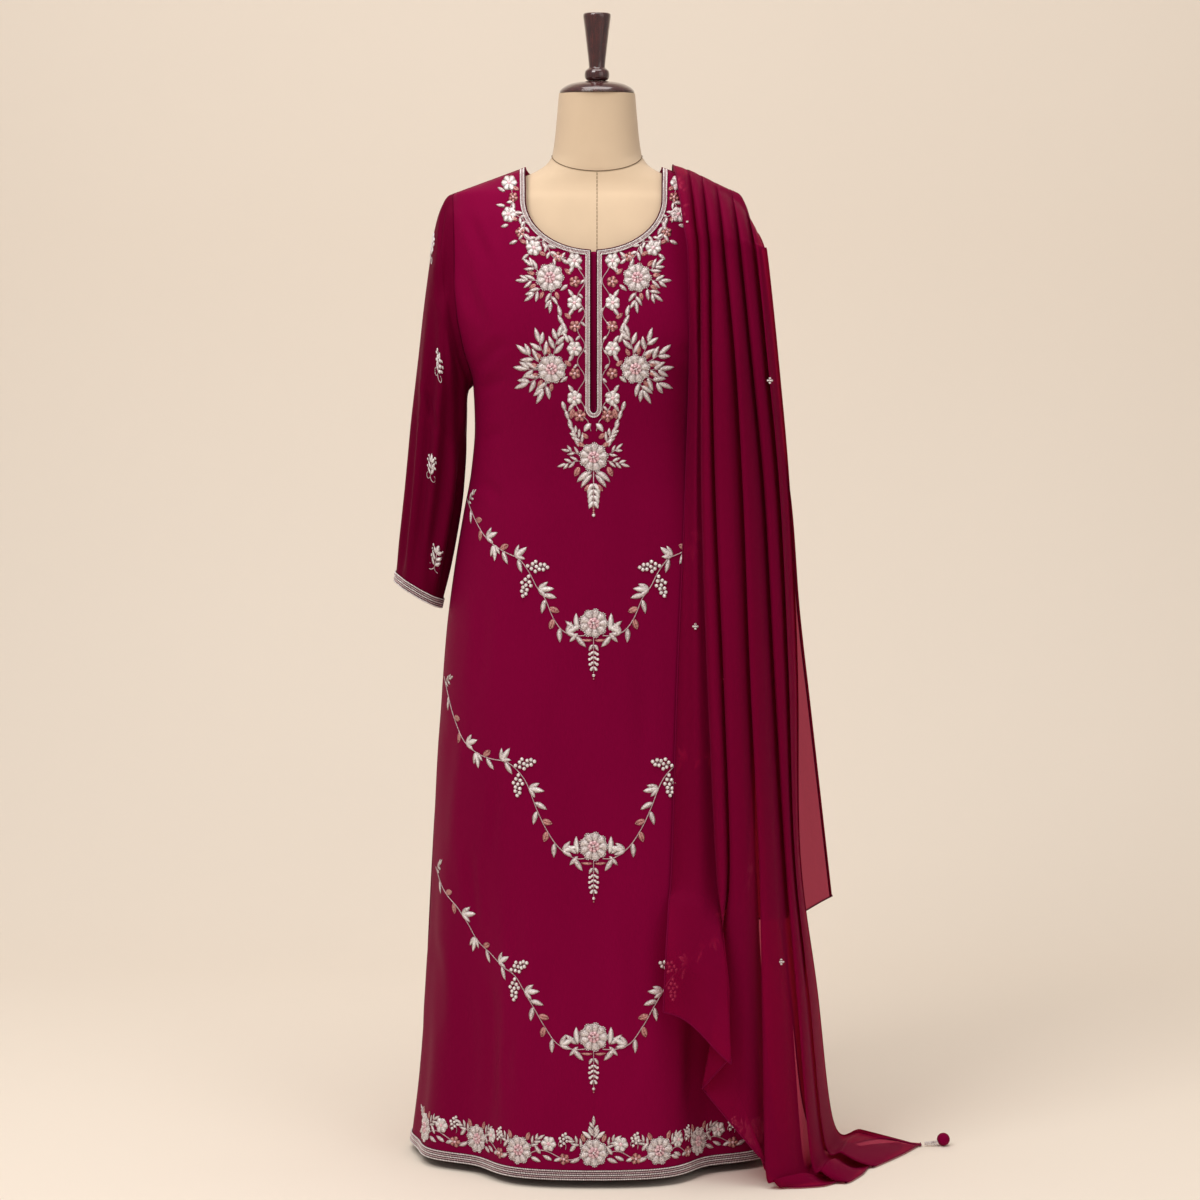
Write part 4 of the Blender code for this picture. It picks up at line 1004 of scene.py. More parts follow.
def add_vine(vine):
    work = Beadwork(lambda u, v: unrolled_surface(u, v, -1))
    for hand in (-1, 1):
        add_vine_half(work, vine, hand)
    big_flower(work, 0.0, vine["middle_z"], 0.0195)
    pendant(work, 0.0, vine["middle_z"] - 0.0225)
    for hand in (-1, 1):
        foot = vine["middle_z"] - 0.010
        work.leaf(hand * 0.021, foot, UP - hand * 0.25, 0.0240, 0.0080, 0.0016, PEARL_I, bend=hand * 0.3)
        work.leaf(hand * 0.023, foot, UP - hand * 0.85, 0.0200, 0.0070, 0.0015)
        work.leaf(hand * 0.021, foot - 0.003, DOWN + hand * 0.75, 0.0170, 0.0062, 0.0015)
    work.build(vine["name"])


# small flowers beside the neckline, from the shoulder down: distance from the middle, height, kind
NECK_FLOWERS = table(
    "x z kind",
    (0.1145, 1.3520, "pearl"), (0.1085, 1.3320, "copper"), (0.1145, 1.3090, "pearl"),
    (0.0985, 1.2850, "copper"), (0.0800, 1.2640, "pearl"), (0.1010, 1.3420, "bud"),
    (0.1020, 1.3010, "bud"), (0.0900, 1.2700, "bud"), (0.0640, 1.2540, "bud"),
    (0.0480, 1.2520, "copper"))


def neck_border(work):
    """Small flowers, buds and leaves on a stem beside the round neckline."""
    for hand in (-1, 1):
        stem = []
        for k in range(70):
            s = k / 69
            angle = lerp(math.radians(88), math.radians(20), s)
            reach = 0.0150 + 0.0060 * math.sin(5.0 * math.pi * s)
            stem.append((hand * (NECK_WIDTH + reach) * math.sin(angle),
                         NECK_SIDE_Z - (NECK_DROP + reach) * math.cos(angle)))
        stem = [(hand * 0.1090, 1.3560), (hand * 0.1115, 1.3440)] + stem
        work.line(stem, 0.0014, 0.0009)
        for number, flower in enumerate(NECK_FLOWERS):
            u, v = hand * flower["x"], flower["z"]
            if flower["kind"] == "pearl":
                small_flower(work, u, v, 0.0112, PEARL_I, 6, turn=number)
            elif flower["kind"] == "copper":
                small_flower(work, u, v, 0.0072, COPPER_I, 5, turn=number)
            else:
                copper_bud(work, u, v, UP - hand * 1.1, 0.0100)
        for index in range(3, len(stem) - 2, 5):
            u, v = stem[index]
            ahead = np.subtract(stem[index + 1], stem[index - 1])
            along = math.atan2(ahead[1], ahead[0])
            side = 1 if index % 4 else -1
            work.leaf(u, v, along + side * 0.85, 0.0135, 0.0056, 0.0014, SILVER_I, bend=-side * 0.35)
            work.leaf(u, v, along - side * 1.0, 0.0105, 0.0046, 0.0013, PEARL_I, bend=side * 0.3)
        for x, z, turn in ((0.1265, 1.3400, 0.5), (0.1270, 1.3200, 0.2), (0.1210, 1.2950, -0.2),
                           (0.1090, 1.2740, -0.4), (0.0940, 1.2560, -0.7)):
            angle = turn if hand > 0 else math.pi - turn
            work.leaf(hand * (x - 0.007), z, angle, 0.0125, 0.0052, 0.0014, SILVER_I)


# sprays round the big flowers beside the slit: angle on the wearer's right, length and number of leaves
UPPER_SPRAYS = table(
    "angle length leaves",
    (150, 0.010, 4), (190, 0.012, 4), (228, 0.012, 4), (275, 0.013, 4))
LOWER_SPRAYS = table(
    "angle length leaves",
    (152, 0.019, 4), (184, 0.014, 4), (214, 0.019, 4),
    (118, 0.021, 4), (82, 0.025, 5), (252, 0.013, 4))


def spray_round(work, u, v, radius, hand, sprays, leaf):
    """Sprays that start round a flower's edge."""
    for spray in sprays:
        angle = math.radians(spray["angle"] if hand < 0 else 180 - spray["angle"])
        foot = polar(u, v, radius, angle)
        sprig(work, *foot, angle, spray["length"], spray["leaves"], leaf, curl=0.2 * hand)
        between = angle + 0.30
        copper_bud(work, *polar(u, v, 1.1 * radius, between), between)


def slit_side(work, hand):
    """The column of small flowers and leaves beside the slit, with its big flowers."""
    stem = [(hand * (0.0165 + 0.0050 * math.sin(k * 0.55)), lerp(1.252, 1.046, k / 55)) for k in range(56)]
    work.line(stem, 0.0013, 0.0009)
    for number, z in enumerate((1.247, 1.191, 1.130, 1.064)):
        small_flower(work, hand * 0.0255, z, 0.0105, PEARL_I, 6, turn=0.5 * number)
        for side in (-1, 1):
            work.leaf(hand * 0.0265, z + side * 0.007, UP * side - hand * side * 0.6, 0.0135, 0.0056)
    for number, z in enumerate((1.219, 1.160, 1.097)):
        small_flower(work, hand * 0.0250, z, 0.0080, COPPER_I, 5, turn=number)
        copper_bud(work, hand * 0.0300, z + 0.010, UP - hand * 0.9, 0.0110)
        work.leaf(hand * 0.0345, z - 0.004, DOWN + hand * 0.9, 0.0130, 0.0054)
    for index in range(3, 54, 5):
        u, v = stem[index]
        work.leaf(u, v, DOWN + (0.8 if index % 2 else -0.8), 0.0090, 0.0040, 0.0012, SILVER_I)
    big_flower(work, hand * 0.0585, 1.2245, 0.0190)
    spray_round(work, hand * 0.0585, 1.2245, 0.0185, hand, UPPER_SPRAYS, 0.0160)
    big_flower(work, hand * 0.0560, 1.1030, 0.0195, turn=0.2)
    spray_round(work, hand * 0.0560, 1.1030, 0.0175, hand, LOWER_SPRAYS, 0.0205)
    for k in range(4):
        work.leaf(hand * (0.0330 + 0.0035 * k), 1.138 + 0.0115 * k, UP - hand * (0.5 - 0.25 * (k % 2)),
                  0.0165, 0.0062, 0.0015, SILVER_I)


def neck_drop(work, hand):
    """Half of the drop below the slit's tip."""
    stem = ((0.0240, 1.056), (0.0170, 1.043), (0.0080, 1.034), (0.0035, 1.020))
    work.line([(hand * x, z) for x, z in stem], 0.0014)
    small_flower(work, hand * 0.0185, 1.0405, 0.0088, COPPER_I, 5, turn=hand)
    copper_bud(work, hand * 0.0270, 1.0500, DOWN + hand * 0.25, 0.0140)
    work.leaf(hand * 0.0030, 1.0300, DOWN + hand * 1.05, 0.0150, 0.0078, 0.0017, PEARL_I, bend=-hand * 0.7)
    for k in range(5):
        work.leaf(hand * (0.0420 - 0.0044 * k), 1.0600 - 0.0118 * k, DOWN - hand * 0.30, 0.0150, 0.0060)
    sprig(work, hand * 0.0150, 1.0020, UP - hand * 0.50, 0.0200, 6, 0.0145, curl=-hand * 0.15)
    sprig(work, hand * 0.0185, 0.9800, UP - hand * 1.70, 0.0180, 5, 0.0130, curl=-hand * 0.2)
    sprig(work, hand * 0.0190, 0.9880, UP - hand * 1.10, 0.0130, 4, 0.0120)
    copper_bud(work, hand * 0.0190, 0.9720, DOWN + hand * 0.45, 0.0140)
    copper_bud(work, hand * 0.0070, 1.0100, UP - hand * 0.9, 0.0110)
    copper_bud(work, hand * 0.0120, 1.0000, UP - hand * 1.2, 0.0110)
    work.leaf(hand * 0.0020, 0.9660, DOWN + hand * 1.20, 0.0255, 0.0084, 0.0018, bend=-hand * 0.5)
    work.leaf(hand * 0.0020, 0.9620, DOWN + hand * 0.85, 0.0235, 0.0074, 0.0016, bend=-hand * 0.3)
    copper_bud(work, hand * 0.0040, 0.9480, DOWN + hand * 0.8, 0.0115)
    for k in range(4):
        work.leaf(0.0, 0.9500 - 0.0080 * k, DOWN + hand * 0.80, 0.0165 - 0.0016 * k, 0.0066, 0.0017,
                  PEARL_I, bend=-hand * 0.5)


def neck_panel(work):
    for hand in (-1, 1):
        slit_side(work, hand)
        neck_drop(work, hand)
    big_flower(work, 0.0, 0.9850, 0.0195, turn=0.1)
    work.line([(0.0, 0.966), (0.0, 0.945), (0.0, 0.914)], 0.0016)
    for z in (0.9175, 0.9140, 0.9110):
        work.dome(0.0, z, 0.0015, 0.0015, COPPER_I, 6)
    work.dome(0.0, 0.9075, 0.0023, 0.0022, PEARL_I)


HEM_FLOWERS = (-0.2450, -0.1850, -0.1030, 0.0, 0.0900, 0.1650, 0.2330)
HEM_FLOWER_Z = HEM_Z + HEM_BAND_HEIGHT + 0.0235


def hem_border(work):
    """Large flowers along the hem with leaves, small flowers, berries and tendrils between."""
    z = HEM_FLOWER_Z
    flowers = [round_length(x, z, -1) for x in HEM_FLOWERS]
    for number, u in enumerate(flowers):
        big_flower(work, u, z, 0.0190, turn=0.2 * number)
        for hand in (-1, 1):
            sprig(work, u + hand * 0.016, z + 0.006, UP - hand * 0.70, 0.0150, curl=hand * -0.3)
            work.leaf(u + hand * 0.018, z - 0.008, DOWN + hand * 1.2, 0.0155, 0.0062)
            copper_bud(work, u + hand * 0.012, z + 0.014, UP - hand * 0.35, 0.0120)
    for number, (left, right) in enumerate(zip(flowers, flowers[1:])):
        middle = (left + right) / 2
        stem = [(lerp(left + 0.015, right - 0.015, k / 24),
                 z + 0.006 * math.sin(2 * math.pi * k / 24) - 0.004) for k in range(25)]
        work.line(stem, 0.0014)
        small_flower(work, middle - 0.009, z + 0.011, 0.0108, PEARL_I, 6, turn=number)
        small_flower(work, middle + 0.012, z - 0.009, 0.0080, COPPER_I, 5, turn=number)
        berries(work, middle + 0.007, z + 0.006, UP - 0.35, 0.0021, (1, 2, 3, 2, 1))
        work.leaf(middle - 0.002, z - 0.012, 0.35, 0.0140, 0.0056)
        work.leaf(middle - 0.004, z - 0.011, 2.7, 0.0150, 0.0058)
        curl_line(work, middle - 0.014, z + 0.001, 2.2, 0.020, -1)
        if right - left > 0.075:
            work.leaf(middle - 0.020, z - 0.003, 2.2, 0.0150, 0.0058)
            work.leaf(middle + 0.020, z + 0.001, 0.9, 0.0150, 0.0058)
            curl_line(work, middle + 0.014, z + 0.004, 1.2, 0.022, 1)
    sprig(work, 0.0, z + 0.018, UP, 0.0180, 7, 0.0140, curl=0.0)
    for hand in (-1, 1):
        work.leaf(hand * 0.003, z + 0.019, UP - hand * 0.9, 0.0160, 0.0064, 0.0015, PEARL_I)


def buti(work, u, v, scale=1.0, lean=0.0):
    """A small sprig with paired leaves, round buds and a curled foot."""
    up = UP + lean
    work.line([(u, v - 0.010 * scale), (u + 0.001 * scale, v), (u, v + 0.010 * scale)], 0.0013)
    for k, drop in enumerate((0.007, 0.000, -0.006)):
        reach = (0.0085, 0.0115, 0.0100)[k] * scale
        for hand in (-1, 1):
            work.leaf(u, v + drop * scale, up + hand * 0.95, reach, 0.0042 * scale, 0.0013, PEARL_I,
                      bend=-hand * 0.5)
            bud = 1.12 * reach
            work.dome(*polar(u, v + drop * scale, bud, up + hand * 0.80), 0.0017 * scale, 0.0015)
    work.leaf(u, v + 0.008 * scale, up, 0.0095 * scale, 0.0052 * scale, 0.0013, PEARL_I)
    for hand in (-1, 1):
        curl_line(work, u, v - 0.009 * scale, DOWN + 0.5 * hand, 0.017 * scale, hand, SILVER_I, 0.0012)


# butis on the front of each sleeve: distance from the kameez's middle and height
SLEEVE_BUTIS = ((0.2200, 1.264), (0.2110, 1.104), (0.2225, 0.964), (0.2170, 0.838))


def sleeve_patch(sleeve, x, z):
    """A flat patch, laid on the front of the sleeve round this point as seen from the front."""
    bearings = np.radians(np.linspace(12, 168, 79))
    shares = np.linspace(0.02, 0.98, 193)
    grid = sleeve.point(bearings[:, None], shares[None, :])
    away = np.hypot(grid[..., 0] - KAMEEZ_X - sleeve.hand * x, grid[..., 2] - z)
    row, column = np.unravel_index(np.argmin(away), away.shape)
    bearing, share = bearings[row], shares[column]
    step = 0.01
    centre = sleeve.point(bearing, share)
    by_bearing = (sleeve.point(bearing + step, share) - centre) / step
    by_share = (sleeve.point(bearing, share + step) - centre) / step
    around = math.copysign(1 / np.linalg.norm(by_bearing), by_bearing[0])
    down = 1 / np.linalg.norm(by_share)

    def place(u, v):
        return sleeve.point(bearing + around * u, share - down * v)

    return place


def sleeve_embroidery(sleeve, name):
    for number, (x, z) in enumerate(SLEEVE_BUTIS):
        work = Beadwork(sleeve_patch(sleeve, x, z))
        buti(work, 0.0, 0.0, 1.20, lean=0.15 * (-1)**number)
        work.build(f"{name}_{number + 1}")


def kameez_embroidery():
    work = Beadwork(lambda u, v: kameez_surface(u, v, -1))
    neck_border(work)
    neck_panel(work)
    work.build("neck_embroidery")
    for vine in VINES:
        add_vine(vine)
    work = Beadwork(lambda u, v: unrolled_surface(u, v, -1), lift=0.0005)
    hem_border(work)
    work.build("hem_embroidery")


# ---------------------------------------------------------------- bead edgings
def bead_rows(name, lines, radius, spacing, mats, nodes=()):
    """Rows of small round beads on 3-D lines, each line with its own material index."""
    sides, levels = 6, (-0.62, 0.0, 0.62)
    verts, faces, indices = [], [], []
    for line, index in lines:
        line = np.asarray(line, float)
        steps = np.linalg.norm(np.diff(line, axis=0), axis=1)
        distance = np.concatenate([[0.0], np.cumsum(steps)])
        count = max(int(distance[-1] / spacing), 2)
        where = np.linspace(0.0, distance[-1], count)
        centres = np.stack([np.interp(where, distance, line[:, k]) for k in range(3)], axis=1)
        for centre in centres:
            start = len(verts)
            verts.append(centre + (0, 0, radius))
            for level in levels[::-1]:
                ring = radius * math.sqrt(1 - level * level)
                for k in range(sides):
                    a = 2 * math.pi * k / sides
                    verts.append(centre + (ring * math.cos(a), ring * math.sin(a), radius * level))
            verts.append(centre - (0, 0, radius))
            for k in range(sides):
                j = (k + 1) % sides
                faces.append((start, start + 1 + k, start + 1 + j))
                for r in range(2):
                    a = start + 1 + r * sides
                    faces.append((a + k, a + sides + k, a + sides + j, a + j))
                last = start + 1 + 3 * sides
                faces.append((last - sides + k, last, last - sides + j))
            indices += [index] * (4 * sides)
    obj = add_piece(name, verts, faces, mats, nodes)
    obj.data.polygons.foreach_set("material_index", indices)


def cord_mesh(name, line, radius, mat, sides=6, closed=False):
    """A thin piping along a 3-D line."""
    line = np.asarray(line, float)
    along = np.gradient(line, axis=0)
    if closed:
        along = np.roll(line, -1, axis=0) - np.roll(line, 1, axis=0)
    along /= np.maximum(np.linalg.norm(along, axis=1, keepdims=True), 1e-9)
    reference = np.array([0.02, -1.0, 0.05])
    first = np.cross(along, reference)
    first /= np.maximum(np.linalg.norm(first, axis=1, keepdims=True), 1e-9)
    second = np.cross(along, first)
    rows = []
    for k in range(sides):
        a = 2 * math.pi * k / sides
        rows.append(line + radius * (math.cos(a) * first + math.sin(a) * second))
    points = np.stack(rows, axis=1)
    if closed:
        base = (len(line) - 1) * sides
        faces = grid_quads(len(line), sides, ring=True)
        faces += [(base + k, base + (k + 1) % sides, (k + 1) % sides, k) for k in range(sides)]
    else:
        faces = capped_tube(len(line), sides)
    obj = add_piece(name, points.reshape(-1, 3), faces, mat)
    face_outwards(obj)
    return obj


def neck_line(inset, lift):
    """A 3-D line on the front beside the neckline and round the slit, this far from the edge."""
    right = []
    for k in range(12, 0, -1):
        t = k / 12
        right.append((lerp(NECK_WIDTH, NECK_POINT_X, t) + inset,
                      lerp(NECK_SIDE_Z, NECK_POINT_Z - 0.0035 - 0.36 * inset, t)))
    start = math.asin(min((SLIT_HALF_GAP + inset) / (NECK_WIDTH + inset), 1.0))
    for k in range(60, -1, -1):
        angle = lerp(start, 0.5 * math.pi, k / 60)
        right.append(((NECK_WIDTH + inset) * math.sin(angle),
                      NECK_SIDE_Z - (NECK_DROP + inset) * math.cos(angle)))
    top_z = right[-1][1]
    for k in range(1, 50):
        right.append((SLIT_HALF_GAP + inset, lerp(top_z, SLIT_TIP_Z + 0.006, k / 50)))
    for k in range(9):
        angle = 0.5 * math.pi * k / 9
        right.append(((SLIT_HALF_GAP + inset) * math.cos(angle), SLIT_TIP_Z + 0.006
                      - (0.006 + inset) * math.sin(angle)))
    whole = np.array([(-x, z) for x, z in right] + [(0.0, SLIT_TIP_Z - inset)] + right[::-1])
    normal = normals_of(lambda x, z: kameez_surface(x, z, -1), *whole.T)
    return kameez_surface(*whole.T, -1) + turned(normal, -normal[:, 1]) * lift


def neck_edging():
    lines = [(neck_line(0.0018, 0.0013), 0), (neck_line(0.0060, 0.0013), 0), (neck_line(0.0039, 0.0009), 1)]
    bead_rows("neck_beads", lines, 0.00115, 0.0021, [PEARL, THREAD], ["neck_trim"])
    cord_mesh("neck_piping", neck_line(0.0002, 0.0006), 0.0010, PIPING, sides=8)


def hem_line(side, height, lift):
    """The hem's line at this height above it, from one side seam to the other."""
    z = HEM_Z + height
    half = float(HALF(z))
    angle = np.linspace(-0.5 * math.pi, 0.5 * math.pi, 260)
    x = half * np.sin(angle)
    points = kameez_surface(x, z, side)
    points[0, 1] = points[-1, 1] = side * SEAM
    along = np.gradient(points, axis=0)
    normal = np.stack([along[:, 1], -along[:, 0], np.zeros(len(points))], axis=1)
    normal /= np.maximum(np.linalg.norm(normal, axis=1, keepdims=True), 1e-9)
    outward = np.sum(normal * (points - [KAMEEZ_X, 0, 0]), axis=1)
    return points + turned(normal, outward) * lift


def edging_ground(name, lines, node, ring=False):
    """The dark strip of cloth under an edging's beads."""
    faces = grid_quads(len(lines), len(lines[0]), ring)
    thicken(add_piece(name + "_ground", np.vstack(lines), faces, PIPING, [node]), 0.0004)


def hem_edging(side, name, node):
    rows = (0.0013, 0.0042, 0.0070, 0.0098, 0.0127)
    lines = [(hem_line(side, height, 0.0012), number % 2) for number, height in enumerate(rows)]
    bead_rows(name, lines, 0.00112, 0.0024, [PEARL, THREAD])
    band = [hem_line(side, height, 0.0005)[::-side] for height in (0.0, 0.0047, 0.0093, 0.0140)]
    edging_ground(name, band, node)


def cuff_edging(sleeve, name, node):
    """Bead rows and their ground round a sleeve's end."""
    bearings = np.linspace(0, 2 * math.pi, 130, endpoint=False)

    def ring(share, lift):
        base = sleeve.point(bearings, np.full_like(bearings, share))
        centre = base.mean(axis=0)
        away = base - centre
        away[:, 2] = 0
        away /= np.linalg.norm(away, axis=1, keepdims=True)
        return base + away * lift

    lines = []
    for number, share in enumerate((0.9985, 0.9935, 0.9885, 0.9835, 0.9785)):
        line = ring(share, 0.0013)
        lines.append((np.vstack([line, line[:1]]), number % 2))
    bead_rows(name, lines, 0.0011, 0.0023, [PEARL, THREAD])
    band = [ring(share, 0.0006)[::-sleeve.hand] for share in (1.0, 0.992, 0.984, 0.9765)]
    edging_ground(name, band, node, ring=True)


# ---------------------------------------------------------------- dupatta
# the lines of its pleats' edges, from the front end's hem to the back end's hem. Each row is one pleat edge:
# its hem, where it leaves the floor, then its x up the front, over the shoulder and down the back.
PLEATS = (
    dict(hem=(0.0890, -0.2080, 0.2440), low=(0.0930, -0.1990, 0.3300), knee=0.101, hip=0.1085, mid=0.119,
         chest=0.1245, top=0.122, over=0.1040, over_z=1.3765, back=0.108, back_hip=0.090,
         back_hem=(0.0700, 0.2180, 0.2500), proud=-0.050),
    dict(hem=(0.1790, -0.2250, 0.1870), low=(0.1770, -0.2050, 0.2850), knee=0.160, hip=0.1480, mid=0.140,
         chest=0.1390, top=0.137, over=0.1240, over_z=1.3710, back=0.128, back_hip=0.118,
         back_hem=(0.1100, 0.2180, 0.2600), proud=-0.010),
    dict(hem=(0.1420, -0.1830, 0.1330), low=(0.1620, -0.1780, 0.2500), knee=0.179, hip=0.1700, mid=0.159,
         chest=0.1540, top=0.152, over=0.1420, over_z=1.3625, back=0.148, back_hip=0.148,
         back_hem=(0.1500, 0.2150, 0.2750), proud=0.002),
    dict(hem=(0.2540, -0.2080, 0.0030), low=(0.2270, -0.2080, 0.0300), middle=(0.2450, -0.2140, 0.0060),
         knee=0.2190, hip=0.2060, mid=0.196, chest=0.1850, top=0.172, over=0.1620, over_z=1.3510, back=0.170,
         back_hip=0.184, back_hem=(0.2000, 0.2050, 0.2850), proud=0.010),
    dict(hem=(0.3370, -0.1880, 0.0030), low=(0.2900, -0.1780, 0.0350), middle=(0.3120, -0.1840, 0.0120),
         knee=0.2560, hip=0.2400, mid=0.226, chest=0.2080, top=0.194, over=0.1840, over_z=1.3350, back=0.192,
         back_hip=0.222, back_hem=(0.2500, 0.1850, 0.2950), proud=0.003),
    dict(hem=(0.3800, -0.1050, 0.0030), low=(0.3120, -0.1250, 0.0450), middle=(0.3500, -0.1180, 0.0170),
         knee=0.2700, hip=0.2600, mid=0.247, chest=0.2290, top=0.215, over=0.2040, over_z=1.3140, back=0.214,
         back_hip=0.257, back_hem=(0.2950, 0.1500, 0.3080), proud=0.008),
    dict(hem=(0.4580, 0.0100, 0.0030), low=(0.3310, -0.0500, 0.0500), middle=(0.3900, 0.0500, 0.0130),
         knee=0.2790, hip=0.2740, mid=0.262, chest=0.2450, top=0.230, over=0.2185, over_z=1.2860, back=0.232,
         back_hip=0.285, back_hem=(0.3360, 0.1050, 0.3430), proud=0.000),
)
DRAPE_HEIGHTS = dict(knee=0.440, hip=0.690, mid=0.930, chest=1.110)
DRAPE_TOP_Z, BACK_HIP_Z = 1.250, 0.760
DRAPE_HALF = 0.300       # half width of the rounder section the dupatta hangs round
FALL_REACH = 0.020       # the pleats' edges stand this far out from what the dupatta hangs over
BACK_REACH = 0.018
DUPATTA_WIDTH = 0.720    # what the pleats take up, measured round their folds
EDGE_DROP = 0.006        # a pleat's edge lies this far behind its crown
DIVE_DEPTH = 0.023       # where a pleat dives under the next one
VALLEY_DEPTH = 0.032     # the bottom of the valley, hidden under the next pleat
CORNER_PLEATS = 2        # the first valleys open out towards the raised corner of the front hem
TURN_UNDER = 0.038       # how far the outer selvedge turns back under the last pleat
TURN_DEPTH = 0.014
CLOTH_CLEAR = 0.003      # between the dupatta and what it hangs over
CLOTH_SOFT = 0.004       # how softly it comes to rest there
DUPATTA_ROWS = 320
LAP_STEPS = 16
RETURN_STEPS = 6
OVER_SHARE = 0.565       # where along the dupatta it crosses the shoulder


def drape_y(x, z, side):
    depth = float(DEPTH[side](z)) + 0.014
    return side * depth * math.sqrt(max(1 - (x / DRAPE_HALF)**2, 0.02))


def pleat_line(pleat):
    """One pleat edge as 3-D points, and the direction that faces away from the wearer at each."""
    points, away = [], []

    def add(point, direction):
        points.append(np.asarray(point, float))
        away.append(direction)

    hem, low = np.array(pleat["hem"]), np.array(pleat["low"])
    proud = np.array([0.0, pleat["proud"], 0.0])
    knee = np.array([pleat["knee"], drape_y(pleat["knee"], 0.44, -1) - FALL_REACH, 0.44]) - proud
    add(hem, (0, -1, 0))
    if "middle" in pleat:
        middle = np.array(pleat["middle"])
        for t in (0.33, 0.66):
            add((1 - t)**2 * hem + 2 * t * (1 - t) * middle + t**2 * low, (0, -0.7, 0.7))
    else:
        for t in (0.33, 0.66):
            add(lerp(hem, low, t), (0, -1, 0))
    add(low, (0, -1, 0))
    add(lerp(low, knee, 0.5), (0, -1, 0))
    for key, z in DRAPE_HEIGHTS.items():
        add(np.array([pleat[key], drape_y(pleat[key], z, -1) - FALL_REACH, z]) - proud, (0, -1, 0))
    for k in range(-4, 5):
        angle = 0.5 * math.pi * k / 4
        side = -1 if k <= 0 else 1
        end_x = pleat["top"] if k <= 0 else pleat["back"]
        reach = abs(drape_y(end_x, DRAPE_TOP_Z, side)) + FALL_REACH
        x = lerp(pleat["over"], end_x, (abs(k) / 4)**1.4)
        z = DRAPE_TOP_Z + (pleat["over_z"] - DRAPE_TOP_Z) * math.cos(angle)
        add((x, side * reach * abs(math.sin(angle)), z), (0, math.sin(angle), math.cos(angle)))
    for t in (0.34, 0.68, 1.0):
        z = lerp(DRAPE_TOP_Z, BACK_HIP_Z, t)
        x = lerp(pleat["back"], pleat["back_hip"], float(ease(t)))
        add((x, drape_y(x, z, 1) + BACK_REACH, z), (0, 1, 0))
    hip, end = points[-1], np.array(pleat["back_hem"])
    for t in (0.34, 0.68, 1.0):
        add(lerp(hip, end, t), (0, 1, 0))
    return np.array(points), np.array(away, float)


def fold_scale(s):
    """How deep the pleats are at share s of the dupatta's length: shallow where it crosses the shoulder."""
    crossing = math.exp(-((s - OVER_SHARE) / 0.095)**2)
    behind = float(ease((s - 0.62) / 0.2))
    return (1 - 0.94 * crossing) * lerp(1.0, 0.55, behind)


def pleat_lap(s, k, stations):
    """How far the valley after pleat k tucks under the next one; the cloth keeps its width all along."""
    lap = max((DUPATTA_WIDTH - stations[-1]) / (2 * len(stations) - 2), 0.016)
    if k < CORNER_PLEATS:
        return lap * float(ease((s - 0.13) / 0.14))
    if k + 2 < len(stations) and s < 0.5:
        lap = max(lap, 0.85 * (stations[k + 2] - stations[k + 1]))
    return lap * float(ease((s + 0.04) / 0.06))


def pleat_face(u, scale):
    """How far behind its crown a pleat is, u of the way to the next pleat's edge."""
    edge = EDGE_DROP * max(1 - u / 0.30, 0.0)**2
    dive = DIVE_DEPTH * float(ease((u - 0.56) / 0.52))
    return -scale * (edge + dive)


def turned_under(edges, away, s):
    """The outer selvedge, from the last pleat's edge to where it ends behind it."""
    before, last = edges[-2], edges[-1]
    inward = before - last
    inward = inward - away * np.dot(inward, away)
    inward = inward / max(np.linalg.norm(inward), 1e-6)
    share = float(ease((s - 0.03) / 0.12) * ease((0.66 - s) / 0.12))
    points = []
    for i in range(1, LAP_STEPS + 1):
        t = i / LAP_STEPS
        along = lerp(0.003, TURN_UNDER, share) * (1 - math.cos(0.5 * math.pi * t))
        behind = TURN_DEPTH * share * fold_scale(s) * math.sin(0.5 * math.pi * t)
        points.append(last + inward * along - away * behind)
    return points


def dupatta_points():
    """The whole dupatta as a grid: rows along it, columns across its pleats."""
    lines, aways = zip(*(pleat_line(pleat) for pleat in PLEATS))
    lines = [spline(line, DUPATTA_ROWS) for line in lines]
    aways = [spline(away, DUPATTA_ROWS) for away in aways]
    grid = []
    for r in range(DUPATTA_ROWS):
        s = r / (DUPATTA_ROWS - 1)
        edges = [line[r] for line in lines]
        scale = fold_scale(s)
        stations = np.concatenate([[0.0], np.cumsum(np.linalg.norm(np.diff(edges, axis=0), axis=1))])
        last = lerp(stations[-1], stations[-2], float(ease((s - 0.60) / 0.08)))

        def on_base(station):
            return np.array([np.interp(station, stations, [edge[i] for edge in edges]) for i in range(3)])

        row = []
        for k in range(len(edges) - 1):
            away = aways[k][r] / np.linalg.norm(aways[k][r])
            gap = stations[k + 1] - stations[k]
            opened = pleat_lap(s, k, stations)
            lap = min(opened, max(last - stations[k + 1] - 0.006, 0.0))
            fold = scale * float(ease(opened / 0.012)) * (1.0 if k + 2 < len(edges) else 0.35)
            reach = gap + lap
            for i in range(LAP_STEPS + 1):
                run = reach * (i / LAP_STEPS)
                tail = max(run / gap - 1.08, 0.0) / max(reach / gap - 1.08, 0.01)
                drop = pleat_face(run / gap, fold) - fold * (VALLEY_DEPTH - DIVE_DEPTH) * min(tail, 1.0)
                row.append(on_base(stations[k] + run) + away * drop)
            for i in range(1, RETURN_STEPS):
                v = 1 - i / RETURN_STEPS
                drop = -fold * lerp(EDGE_DROP, VALLEY_DEPTH, v**0.6)
                row.append(on_base(stations[k + 1] + lap * v) + away * drop)
        row.append(edges[-1])
        grid.append(row + turned_under(edges, away, s))
    return np.array(grid)


